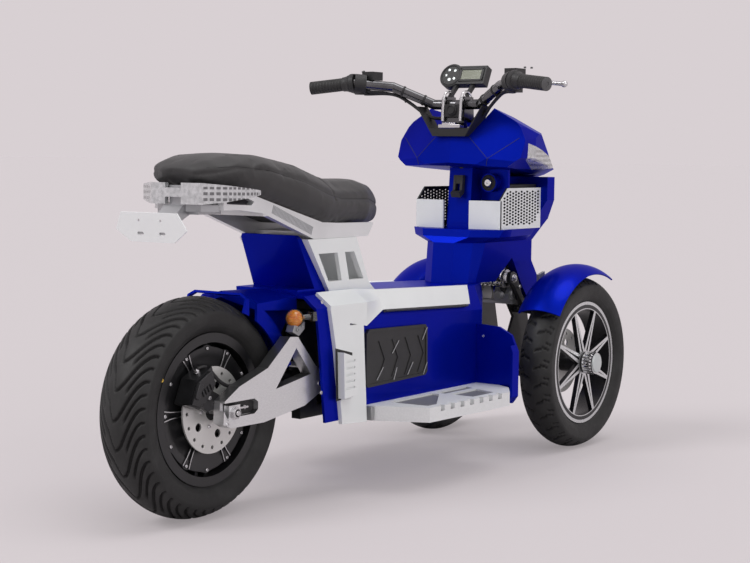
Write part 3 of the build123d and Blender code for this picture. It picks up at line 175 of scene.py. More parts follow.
class Finish:
    """A principled node material, built up step by step on object coordinates in metres."""

    def __init__(self, name, **values):
        self.material = bpy.data.materials.new(name)
        self.material.use_nodes = True
        self.tree = self.material.node_tree
        self.shader = self.tree.nodes["Principled BSDF"]
        self.coords = self.node("TexCoord", {})
        self.bump_out = None
        for key, value in values.items():
            self.shader.inputs[key.replace("_", " ")].default_value = value

    def node(self, kind, sockets, **settings):
        return shader_node(self.tree, kind, sockets, **settings)

    def texture(self, kind, stretch, sockets):
        """A texture over the object, stretched along its axes."""
        mapping = self.node("Mapping", {"Scale": stretch, "Vector": self.coords.outputs["Object"]})
        return self.node(kind, {**sockets, "Vector": mapping.outputs[0]}).outputs[0]

    def noise(self, scale, detail=3.0, stretch=(1, 1, 1)):
        return self.texture("TexNoise", stretch, {"Scale": scale, "Detail": detail})

    def wander(self, scale, detail=3.0, low=0.3, high=0.7):
        """Noise with its contrast raised."""
        return self.ramp(self.noise(scale, detail), low, high)

    def cells(self, scale):
        """Distance to the middle of Voronoi cells."""
        return self.texture("TexVoronoi", (1, 1, 1), {"Scale": scale})

    def bands(self, axis, scale):
        """Parallel bands across an axis."""
        sockets = {"Scale": scale, "Vector": self.coords.outputs["Object"]}
        return self.node("TexWave", sockets, bands_direction=axis).outputs["Fac"]

    def axis_value(self, output, axis):
        """One coordinate of the position (Object) or of the surface's direction (Normal)."""
        return self.node("SeparateXYZ", {0: self.coords.outputs[output]}).outputs[axis]

    def math(self, operation, *values):
        """A math node on outputs or numbers."""
        return self.node("Math", dict(enumerate(values)), operation=operation).outputs[0]

    def times(self, first, *others):
        """The product of masks."""
        for value in others:
            first = self.math("MULTIPLY", first, value)
        return first

    def ramp(self, value, low, high):
        """A value mapped from low..high to 0..1, clamped."""
        return self.node("MapRange", {"Value": value, "From Min": low, "From Max": high}).outputs[0]

    def spread(self, value, low, high):
        """A 0..1 value mapped to low..high."""
        return self.node("MapRange", {"Value": value, "To Min": low, "To Max": high}).outputs[0]

    def facing(self, axis):
        """1 where a surface faces along an axis either way, else 0."""
        return self.ramp(self.math("ABSOLUTE", self.axis_value("Normal", axis)), 0.75, 0.9)

    def blend(self, mask, first, second):
        """Two colours, or two outputs, mixed by a mask."""
        ends = [(*value, 1) if isinstance(value, tuple) else value for value in (first, second)]
        return self.node("Mix", {"Factor": mask, 6: ends[0], 7: ends[1]}, data_type="RGBA").outputs[2]

    def drive(self, name, output):
        self.tree.links.new(output, self.shader.inputs[name])

    def color(self, mask, first, second):
        """Base colour mixed by a mask."""
        self.drive("Base Color", self.blend(mask, first, second))

    def bump(self, height, distance, strength=1.0):
        """Adds relief of a height in metres on top of what is there."""
        sockets = {"Distance": distance, "Strength": strength, "Height": height}
        if self.bump_out is not None:
            sockets["Normal"] = self.bump_out
        self.bump_out = self.node("Bump", sockets).outputs[0]
        self.drive("Normal", self.bump_out)

    def rough(self, low, high, scale):
        """Roughness that wanders between two values."""
        self.drive("Roughness", self.spread(self.noise(scale), low, high))


def grey(value):
    return (value, value, value)


def scaled(tone, factor):
    return tuple(min(1.0, c * factor) for c in tone)


def plain_finish(slot, tone, rough, metal=0.0, coat=0.0, mottle=0.06, grain=(900.0, 0.00006)):
    """A finish with wandering tone and roughness and a fine surface grain."""
    finish = Finish(slot, Metallic=metal, Coat_Weight=coat, Coat_Roughness=0.06)
    finish.color(finish.wander(14.0), scaled(tone, 1 - mottle), scaled(tone, 1 + mottle))
    finish.rough(rough - 0.05, rough + 0.05, 40.0)
    finish.bump(finish.noise(grain[0], 2.0), grain[1])
    return finish


BLUE = (0.0008, 0.0090, 0.325)
BLUE_FLAKE = (0.003, 0.024, 0.44)


def paint_blue():
    """Deep metallic blue: little veil from its clear coat, fine flakes, faint orange peel."""
    finish = Finish("paint_blue", Metallic=0.62, Coat_Weight=0.05, Coat_Roughness=0.08, Specular_IOR_Level=0.08,
                    Specular_Tint=(0.03, 0.07, 0.9, 1.0))
    flakes = finish.ramp(finish.cells(1400.0), 0.1, 0.9)
    tone = finish.blend(finish.wander(5.0), scaled(BLUE, 0.92), scaled(BLUE, 1.08))
    finish.color(finish.spread(flakes, 0.0, 0.16), tone, BLUE_FLAKE)
    finish.rough(0.30, 0.38, 60.0)
    finish.bump(finish.noise(140.0, 1.0), 0.00006)
    return finish


def tyre_rubber():
    """Dusty rubber, with painted shade that darkens it where the tread's groove attribute is deep."""
    finish = Finish("tyre", Specular_IOR_Level=0.35)
    rubber = finish.blend(finish.wander(26.0, 5.0, 0.42, 0.75), grey(0.016), grey(0.027))
    # Painted shade: the deeper the groove, the nearer the rubber goes to black.
    depth = finish.node("Attribute", {}, attribute_name="groove")
    finish.color(depth.outputs["Fac"], rubber, grey(0.0015))
    finish.rough(0.46, 0.66, 90.0)
    finish.bump(finish.noise(1600.0, 2.0), 0.00012)
    return finish


# Machined faces of the front rims, in metres: distance from the middle, and radii that bound the rim's black well
FACE_Y = (0.2492, 0.2502)
LIP_OUTER_R = (0.1535, 0.1541)
LIP_INNER_R = (0.1445, 0.1439)


def rim_silver():
    """Machined silver on the spokes' outer faces and the flange, black paint elsewhere."""
    finish = Finish("rim_silver")
    x, y, z = (finish.axis_value("Object", k) for k in range(3))
    outboard = finish.ramp(finish.math("ABSOLUTE", y), *FACE_Y)
    across = finish.math("SUBTRACT", x, FRONT_HUB[0] / 1000)
    up = finish.math("SUBTRACT", z, FRONT_HUB[1] / 1000)
    radius = finish.math("SQRT", finish.math("ADD", finish.times(across, across), finish.times(up, up)))
    lip = finish.math("MAXIMUM", finish.ramp(radius, *LIP_OUTER_R), finish.ramp(radius, *LIP_INNER_R))
    bright = finish.times(finish.facing(1), outboard, lip)
    turned = finish.ramp(finish.noise(300.0, 2.0, (1, 12, 1)), 0.3, 0.7)
    finish.color(bright, (0.014, 0.014, 0.016), (0.66, 0.67, 0.68))
    finish.drive("Metallic", finish.spread(bright, 0.25, 0.8))
    finish.drive("Roughness", finish.spread(turned, 0.26, 0.34))
    finish.bump(finish.noise(500.0, 1.0), 0.00003)
    return finish


def rim_dark():
    """Satin black of the motor."""
    finish = Finish("rim_dark", Coat_Weight=0.3, Coat_Roughness=0.25)
    cloud = finish.wander(30.0)
    finish.color(cloud, (0.008, 0.008, 0.009), (0.017, 0.017, 0.019))
    finish.drive("Metallic", finish.spread(cloud, 0.2, 0.4))
    finish.rough(0.30, 0.44, 70.0)
    finish.bump(finish.noise(700.0, 2.0), 0.0001)
    return finish


def board_cast():
    """Bright cast frame, dark grained panels sunk in its top."""
    finish = Finish("board_cast")
    up = finish.ramp(finish.axis_value("Normal", 2), 0.6, 0.9)
    sunk = finish.times(up, finish.ramp(finish.axis_value("Object", 2), 0.1985, 0.1975))
    grain = finish.ramp(finish.cells(700.0), 0.15, 0.6)
    panel = finish.blend(grain, (0.17, 0.17, 0.175), (0.25, 0.25, 0.255))
    cast = finish.blend(finish.wander(260.0, 4.0, 0.35, 0.65), (0.755, 0.76, 0.77), (0.80, 0.805, 0.815))
    finish.color(sunk, cast, panel)
    finish.drive("Metallic", finish.spread(sunk, 0.15, 0.3))
    finish.drive("Roughness", finish.spread(grain, 0.36, 0.5))
    finish.bump(grain, 0.0002, 0.5)
    return finish


def seat_vinyl():
    """Grained vinyl with the sheen that it has on its crown."""
    finish = Finish("seat_vinyl", Sheen_Weight=0.08, Sheen_Roughness=0.5, Specular_IOR_Level=0.4)
    finish.color(finish.wander(9.0, 4.0), (0.031, 0.030, 0.031), (0.040, 0.0385, 0.039))
    finish.rough(0.46, 0.62, 30.0)
    finish.bump(finish.ramp(finish.cells(420.0), 0.0, 0.45), 0.00022, 0.7)
    return finish


LENS_TONE = (0.72, 0.73, 0.745)
ABOVE_ZERO = 10.0        # added to x before a repeat, so that no repeat is mirrored at x = 0


def lamp_clear():
    """A clear moulding over a bright reflector: fine flutes and small dark cells in rows."""
    finish = Finish("lamp_clear", Coat_Weight=1.0, Coat_Roughness=0.03, Specular_IOR_Level=0.6)
    x, z = finish.axis_value("Object", 0), finish.axis_value("Object", 2)
    shifted = finish.math("ADD", x, ABOVE_ZERO)
    lengthways = finish.math("PINGPONG", shifted, 0.0036)
    upright = finish.math("PINGPONG", z, 0.0060)
    cell = finish.times(finish.ramp(lengthways, 0.0010, 0.0014), finish.ramp(upright, 0.0026, 0.0032))
    front = finish.times(finish.ramp(x, 0.47, 0.475), finish.ramp(z, 0.790, 0.789))
    rows = finish.times(finish.ramp(z, 0.6725, 0.6735), finish.ramp(z, 0.7045, 0.7035))
    along = finish.times(finish.ramp(x, -0.692, -0.688), finish.ramp(x, -0.600, -0.604))
    dark = finish.times(cell, finish.math("MAXIMUM", finish.times(rows, along), front))
    cloud = finish.wander(120.0, 2.0, 0.35, 0.65)
    clear = finish.blend(cloud, scaled(LENS_TONE, 0.66), LENS_TONE)
    finish.color(finish.spread(dark, 0.0, 0.8), clear, (0.05, 0.05, 0.055))
    finish.drive("Metallic", finish.spread(cloud, 0.45, 0.7))
    finish.drive("Roughness", finish.spread(cloud, 0.14, 0.24))
    finish.bump(finish.math("PINGPONG", shifted, 0.002), 0.4)
    return finish


def lamp_amber():
    """Ribbed amber lens; what lies ahead of it is its black stalk."""
    finish = Finish("lamp_amber", Coat_Weight=1.0, Coat_Roughness=0.03, Transmission_Weight=0.25, IOR=1.45)
    ribs = finish.bands("Z", 90.0)
    amber = finish.blend(finish.wander(60.0, 2.0, 0.35, 0.65), (0.80, 0.20, 0.004), (1.0, 0.46, 0.02))
    stalk = finish.ramp(finish.axis_value("Object", 0), -0.4155, -0.4150)
    finish.color(stalk, amber, (0.012, 0.012, 0.013))
    finish.drive("Roughness", finish.spread(ribs, 0.10, 0.25))
    finish.bump(ribs, 0.0009)
    return finish


def bar_polished():
    finish = Finish("bar_polished", Metallic=1.0, Coat_Weight=0.3)
    finish.color(finish.wander(20.0), (0.085, 0.085, 0.09), (0.15, 0.15, 0.155))
    finish.rough(0.16, 0.28, 60.0)
    finish.bump(finish.noise(400.0, 1.0), 0.00004)
    return finish


def rubber_black():
    """Grip rubber with fine flutes."""
    finish = Finish("rubber_black", Specular_IOR_Level=0.4)
    flutes = finish.bands("Y", 40.0)
    finish.color(finish.wander(60.0), grey(0.016), grey(0.028))
    finish.drive("Roughness", finish.spread(flutes, 0.5, 0.7))
    finish.bump(flutes, 0.0008)
    finish.bump(finish.noise(1500.0), 0.0001)
    return finish


def rib_edge():
    """Black ribs whose outward faces are painted pale, a painted highlight that stands for the glint along them."""
    finish = Finish("rib_edge")
    # Painted highlight: faces that look along y are pale and metallic.
    bright = finish.facing(1)
    finish.color(bright, (0.012, 0.012, 0.013), (0.55, 0.55, 0.56))
    finish.drive("Metallic", finish.spread(bright, 0.2, 1.0))
    finish.drive("Roughness", finish.spread(finish.noise(300.0, 2.0), 0.24, 0.38))
    return finish


def arm_silver():
    """Brushed silver on the arm's sides, satin black on what faces up."""
    finish = Finish("arm_silver", Coat_Weight=0.3, Coat_Roughness=0.2)
    top = finish.ramp(finish.axis_value("Normal", 2), 0.35, 0.55)
    lines = finish.noise(50.0, 3.0, (3, 1, 30))
    silver = finish.blend(finish.ramp(lines, 0.35, 0.65), (0.66, 0.665, 0.675), (0.76, 0.765, 0.775))
    finish.color(top, silver, (0.05, 0.05, 0.052))
    finish.drive("Metallic", finish.spread(top, 0.85, 0.3))
    finish.drive("Roughness", finish.spread(lines, 0.26, 0.40))
    finish.bump(lines, 0.00004)
    return finish


# Finish: tone, roughness, metal, coat, mottle and, where it isn't the usual one, grain as scale and height
PLAIN = {
    "paint_white": ((0.80, 0.815, 0.82), 0.34, 0.0, 0.4, 0.02, (160.0, 0.00006)),
    "plate_white": ((0.84, 0.85, 0.86), 0.30, 0.0, 0.4, 0.015, (300.0, 0.00004)),
    "plastic_black": ((0.017, 0.017, 0.018), 0.5, 0.0, 0.0, 0.2, (1300.0, 0.00016)),
    "disc_steel": ((0.66, 0.655, 0.64), 0.34, 0.6, 0.0, 0.03, (700.0, 0.00003)),
    "frame_black": ((0.011, 0.011, 0.012), 0.42, 0.3, 0.2, 0.2),
    "battery_case": ((0.03, 0.03, 0.034), 0.6, 0.0, 0.0, 0.15),
    "silver": ((0.74, 0.75, 0.76), 0.30, 0.55, 0.4, 0.04, (240.0, 0.00008)),
    "plastic_grey": ((0.42, 0.425, 0.44), 0.34, 0.6, 0.3, 0.08),
    "steel_black": ((0.022, 0.022, 0.024), 0.36, 0.5, 0.2, 0.25),
    "alu_cast": ((0.36, 0.365, 0.37), 0.40, 0.7, 0.0, 0.06, (520.0, 0.00012)),
    "chrome": ((0.78, 0.785, 0.79), 0.14, 1.0, 0.0, 0.04, (300.0, 0.00003)),
    "bolt_steel": ((0.62, 0.62, 0.63), 0.26, 1.0, 0.0, 0.10, (500.0, 0.00004)),
    "cap_pale": ((0.56, 0.60, 0.60), 0.30, 0.5, 0.5, 0.04, (300.0, 0.00004)),
    "lcd": ((0.20, 0.215, 0.155), 0.16, 0.0, 1.0, 0.03, (900.0, 0.00002)),
    # Plain black for hoses, straps and rims, and painted shade where it darkens the grilles, the peg's gap and the
    # seams.
    "liner_black": ((0.010, 0.010, 0.011), 0.55, 0.0, 0.0, 0.2, (1300.0, 0.00012)),
    "plastic_grey_dark": ((0.085, 0.085, 0.088), 0.45, 0.0, 0.1, 0.12),
    "dot_yellow": ((0.60, 0.38, 0.05), 0.5, 0.0, 0.0, 0.1),
}
CRAFTED = {"tyre": tyre_rubber, "rim_silver": rim_silver, "rim_dark": rim_dark, "paint_blue": paint_blue,
           "seat_vinyl": seat_vinyl, "lamp_amber": lamp_amber, "lamp_clear": lamp_clear, "board_cast": board_cast,
           "bar_polished": bar_polished, "rubber_black": rubber_black, "arm_silver": arm_silver,
           "rib_edge": rib_edge}
MADE = {slot: (CRAFTED[slot]() if slot in CRAFTED else plain_finish(slot, *PLAIN[slot])).material
        for slot in sorted([*PLAIN, *CRAFTED])}
SPECIAL = {"swingarm": "arm_silver", "passenger_peg_left": "paint_white", "passenger_peg_right": "paint_white",
           "heat_sink": "liner_black"}

# Moulded bodywork gets its edge radius from a bevel: node, width in millimetres
EDGES = {"head_cowl": 4, "column_cover": 4, "front_cowl": 4, "tunnel_cover": 4, "side_trim": 3, "seat_post": 4,
         "rear_body": 2, "seat_rail": 3, "swingarm": 4, "footboards": 2, "leg_shields": 2, "tail_tray": 2,
         "passenger_peg_left": 2, "passenger_peg_right": 2, "rear_caliper": 3, "tail_light": 4, "headlamps": 2,
         "dash_display": 3, "tunnel_pads": 2}


def round_edges(thing, width, segments, angle):
    """A bevel on edges sharper than an angle in degrees, its width in millimetres."""
    bevel = thing.modifiers.new("edge", "BEVEL")
    bevel.width = width / 1000
    bevel.segments = segments
    bevel.limit_method = "ANGLE"
    bevel.angle_limit = math.radians(angle)
    return bevel


for node, body in NODES.items():
    body.data.materials.clear()
    body.data.materials.append(MADE[SPECIAL.get(node, SLOTS[node])])
    if node in EDGES:
        round_edges(body, EDGES[node], 3, 28).harden_normals = False


def add_piece(name, mesh, body, slot, finish=None, stands_for=()):
    """A mesh as a piece that rides on a body."""
    piece = link(bpy.data.objects.new(name, mesh))
    mesh.materials.clear()
    mesh.materials.append(MADE[finish or slot])
    mesh.shade_smooth()
    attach(piece, body)
    if stands_for:
        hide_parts(*stands_for)
    return piece


def mesh_from(name, points, faces):
    mesh = bpy.data.meshes.new(name)
    mesh.from_pydata([tuple(p) for p in points], [], faces)
    mesh.update()
    return mesh


def skin_of(mesh):
    """A mesh's surface, to shoot lines at."""
    return BVHTree.FromPolygons([v.co for v in mesh.vertices], [p.vertices for p in mesh.polygons])


def arc_through(first, middle, last, count):
    """Points along the circle through three points of (radius, y), the last left off."""
    (ax, ay), (bx, by), (cx, cy) = first, middle, last
    aa, bb, cc = ax * ax + ay * ay, bx * bx + by * by, cx * cx + cy * cy
    d = 2 * (ax * (by - cy) + bx * (cy - ay) + cx * (ay - by))
    ux = (aa * (by - cy) + bb * (cy - ay) + cc * (ay - by)) / d
    uy = (aa * (cx - bx) + bb * (ax - cx) + cc * (bx - ax)) / d
    reach = math.hypot(ax - ux, ay - uy)
    start = math.atan2(ay - uy, ax - ux)
    mid = (math.atan2(by - uy, bx - ux) - start + math.pi) % (2 * math.pi) - math.pi
    end = (math.atan2(cy - uy, cx - ux) - start + math.pi) % (2 * math.pi) - math.pi
    if mid * end < 0:
        end += 2 * math.pi if mid > 0 else -2 * math.pi
    turns = [start + end * i / count for i in range(count)]
    return [(ux + reach * math.cos(t), uy + reach * math.sin(t)) for t in turns]


# Tyres, in metres
BEAD_R, FLANGE_R = 0.150, 0.162
REAR_R, FRONT_R = REAR_HUB[1] / 1000, FRONT_HUB[1] / 1000
REAR_PITCH, FRONT_PITCH = 2 * math.pi * REAR_R / 24, 2 * math.pi * FRONT_R / 30
SWEEP = 0.092            # how far a rear groove runs round the tyre from crown to shoulder
SWEEP_END = 0.92
# Rows of grooves: shift in pitches, width, start and end as shares of the way to the shoulder, and front lean
REAR_ROWS = ((0.0, 0.0058, -1.0, 0.97), (0.5, 0.0046, 0.34, 0.97))
FRONT_ROWS = ((0.0, 0.0052, 0.08, 0.52, 0.34), (0.42, 0.0046, 0.44, 0.86, -0.30), (0.75, 0.0036, 0.60, 0.95, -0.30))
WALL_RINGS = ((0.176, 0.0010), (0.1815, 0.0006))


def grooves(along, pitch, slant, share, row, depth, fade):
    """Relief of a row of grooves with sloped walls that fade out at their ends."""
    width, inner, outer = row
    distance = np.abs((along + pitch / 2) % pitch - pitch / 2) * slant
    wall = np.clip((width / 2 + 0.0009 - distance) / 0.0018, 0, 1)
    ends = np.clip((share - inner) / 0.05, 0, 1) * np.clip((outer - share) / fade, 0, 1)
    return -depth * wall * wall * (3 - 2 * wall) * ends


def rear_tread(u, v, reach):
    """Long swept grooves from a crest near the crown, with short ones between at the shoulders."""
    share = np.abs(v) / reach
    ease = np.clip(share / SWEEP_END, 0, 1)
    sweep = SWEEP * (ease * ease * (3 - 2 * ease))
    slope = SWEEP * 6 * ease * (1 - ease) / (SWEEP_END * reach)
    side = np.where(v > 0, 0.5 * REAR_PITCH, 0.0) * np.clip(share / 0.15, 0, 1)
    relief = np.zeros_like(u + v)
    for shift, *row in REAR_ROWS:
        along = u + sweep + side + shift * REAR_PITCH
        slant = 1 / np.sqrt(1 + slope * slope)
        relief = np.minimum(relief, grooves(along, REAR_PITCH, slant, share, row, 0.0052, 0.04))
    return relief


def front_tread(u, v, reach):
    """Short bent grooves each side of the crown and rows of lines near the shoulders."""
    share = np.abs(v) / reach
    side = np.where(v > 0, 0.5 * FRONT_PITCH, 0.0)
    relief = np.zeros_like(u + v)
    for shift, *row, lean in FRONT_ROWS:
        along = u + lean * np.abs(v) + side + shift * FRONT_PITCH
        relief = np.minimum(relief, grooves(along, FRONT_PITCH, 1 / math.hypot(1, lean), share, row, 0.0042, 0.05))
    return relief


def tyre_piece(node, body, middle_y, hub, half, rim_half, tread, around, across):
    """A tyre of the solid's section with its tread cut in and moulded rings on its walls."""
    radius = hub[1] / 1000
    shoulder, waist, bead, wide = radius - 0.44 * half, BEAD_R + 0.016, rim_half - 0.0043, half - 0.001
    bulge = (waist + shoulder) / 2
    wall = arc_through((waist, -bead - 0.006), (bulge, -wide), (shoulder, -wide), 16)
    crown = arc_through((shoulder, -wide), (radius, 0.0), (shoulder, wide), across)
    back = arc_through((shoulder, wide), (bulge, wide), (waist, bead + 0.006), 16)
    foot = [(BEAD_R + 0.0003, bead), (FLANGE_R + 0.001, bead)]
    section = np.array([(r, -y) for r, y in foot] + wall + crown + back + [(waist, bead + 0.006)] + foot[::-1])
    first, last = 2 + len(wall), 2 + len(wall) + len(crown)
    length = np.concatenate(([0], np.cumsum(np.linalg.norm(np.diff(section, axis=0), axis=1))))
    middle = (length[first] + length[last]) / 2
    reach = (length[last] - length[first]) / 2
    normal = np.gradient(section, axis=0)
    normal = np.stack((normal[:, 1], -normal[:, 0]), axis=1)
    normal /= np.linalg.norm(normal, axis=1)[:, None]
    rings = np.zeros(len(section))
    for ring_r, height in (*WALL_RINGS, (shoulder - 0.006, 0.0009)):
        rings += height * np.exp(-((section[:, 0] - ring_r) / 0.0012) ** 2)
    rings[first:last] = 0
    turn = np.linspace(0, 2 * math.pi, around, endpoint=False)[:, None]
    relief = np.zeros((around, len(section)))
    relief[:, first:last + 1] = tread(turn * radius, (length - middle)[None, first:last + 1], reach)
    relief += np.where(relief < 0, 0, rings[None, :])
    r = section[None, :, 0] + normal[None, :, 0] * relief
    y = section[None, :, 1] + normal[None, :, 1] * relief
    points = np.stack((hub[0] / 1000 + r * np.cos(turn), middle_y / 1000 + y, radius + r * np.sin(turn)), axis=2)
    n = len(section)
    faces = []
    for i in range(around):
        j = (i + 1) % around
        faces += [(i * n + k, j * n + k, j * n + k + 1, i * n + k + 1) for k in range(n - 1)]
        faces.append((i * n + n - 1, j * n + n - 1, j * n, i * n))
    mesh = mesh_from(node + "_tread", points.reshape(-1, 3), faces)
    # The grooves' depth from 0 to 1, which the tyre finish turns into painted shade.
    depth = mesh.attributes.new("groove", "FLOAT", "POINT")
    depth.data.foreach_set("value", np.clip(-relief.reshape(-1) / 0.003, 0, 1).astype(np.float32))
    add_piece(node + "_tread", mesh, body, "tyre", stands_for=(node,))


tyre_piece("rear_tyre", "rear_wheel", 0, REAR_HUB, 0.066, 0.052, rear_tread, 560, 72)
for side_name, side in (("left", 1), ("right", -1)):
    tyre_piece("front_tyre_" + side_name, "front_wheel_" + side_name, side * TRACK_HALF, FRONT_HUB, 0.046, 0.033,
               front_tread, 480, 52)


def soft_copy(node, name, voxel, smooth_steps):
    """A node's mesh, remeshed into even small faces and smoothed, as a new mesh."""
    temp = link(bpy.data.objects.new(name + "_work", NODES[node].data.copy()))
    for modifier, values in (("REMESH", {"mode": "VOXEL", "voxel_size": voxel}),
                             ("SMOOTH", {"factor": 0.5, "iterations": smooth_steps})):
        step = temp.modifiers.new(modifier, modifier)
        for key, value in values.items():
            setattr(step, key, value)
    mesh = baked(temp)
    bpy.data.objects.remove(temp)
    mesh.name = name
    return mesh


def coordinates(mesh):
    co = np.empty(len(mesh.vertices) * 3)
    mesh.vertices.foreach_get("co", co)
    return co.reshape(-1, 3)


def inflate(mesh, name, pressure, cap, frames=20):
    """Cloth pressure from inside, each point moved no further than a cap in metres."""
    body = link(bpy.data.objects.new(name + "_cloth", mesh))
    scene = bpy.context.scene
    cloth = body.modifiers.new("cloth", "CLOTH")
    for key, value in (("use_pressure", True), ("uniform_pressure_force", pressure), ("tension_stiffness", 30),
                       ("bending_stiffness", 2)):
        setattr(cloth.settings, key, value)
    cloth.settings.effector_weights.gravity = 0
    cloth.point_cache.frame_start = 1
    cloth.point_cache.frame_end = frames
    for step in range(1, frames + 1):
        scene.frame_set(step)
    swollen = baked(body)
    before = coordinates(mesh)
    move = coordinates(swollen) - before
    move *= np.minimum(1, cap / np.maximum(np.linalg.norm(move, axis=1), 1e-9))[:, None]
    mesh.vertices.foreach_set("co", (before + move).reshape(-1))
    mesh.update()
    bpy.data.objects.remove(body)
    bpy.data.meshes.remove(swollen)
    scene.frame_set(1)
    return mesh


# The saddle's sides in metres: the ridge where side meets top, and the line of the sewn welt below it
SADDLE_X = [-0.70, -0.62, -0.53, -0.41, -0.31, -0.25, -0.12, -0.02]
RIDGE_Z = [0.745, 0.762, 0.758, 0.735, 0.707, 0.695, 0.690, 0.672]
WELT_Z = [0.741, 0.746, 0.738, 0.712, 0.684, 0.673, 0.671, 0.655]
SEAT_STEP_X = -0.345


def sew_saddle(mesh):
    """Presses seams into the saddle: a side welt, a crossing seam at the step and two short creases."""
    co = coordinates(mesh)
    no = np.empty(co.size)
    mesh.vertex_normals.foreach_get("vector", no)
    no = no.reshape(-1, 3)
    x, y, z = co.T
    top = no[:, 2] > 0.2
    welt = np.where(np.abs(no[:, 1]) > 0.25, np.abs(z - (np.interp(x, SADDLE_X, RIDGE_Z) - 0.020)), 1.0)
    cross = np.where(top, np.abs(x - (SEAT_STEP_X + 0.55 * np.abs(y))), 1.0)
    crease = np.where(top & (x > -0.60) & (x < -0.36),
                      np.abs(np.abs(y) - (0.050 + 0.10 * np.clip(x + 0.55, 0, 1))), 1.0)
    press = np.zeros(len(co))
    for distance, width, depth in ((welt, 0.0045, 0.0022), (cross, 0.005, 0.0026), (crease, 0.005, 0.0018)):
        press = np.maximum(press, depth * np.exp(-(distance / width) ** 2))
    mesh.vertices.foreach_set("co", (co - no * press[:, None]).reshape(-1))
    mesh.update()


saddle = add_piece("saddle", inflate(soft_copy("seat_cushion", "saddle", 0.0055, 9), "saddle", 3.0, 0.006),
                   "chassis", "seat_vinyl", stands_for=("seat_cushion",))
fine = saddle.modifiers.new("fine", "SUBSURF")
fine.levels = fine.render_levels = 1
detailed = baked(saddle)
saddle.modifiers.clear()
saddle.data = detailed
sew_saddle(detailed)
detailed.shade_smooth()
SADDLE_SKIN = skin_of(detailed)


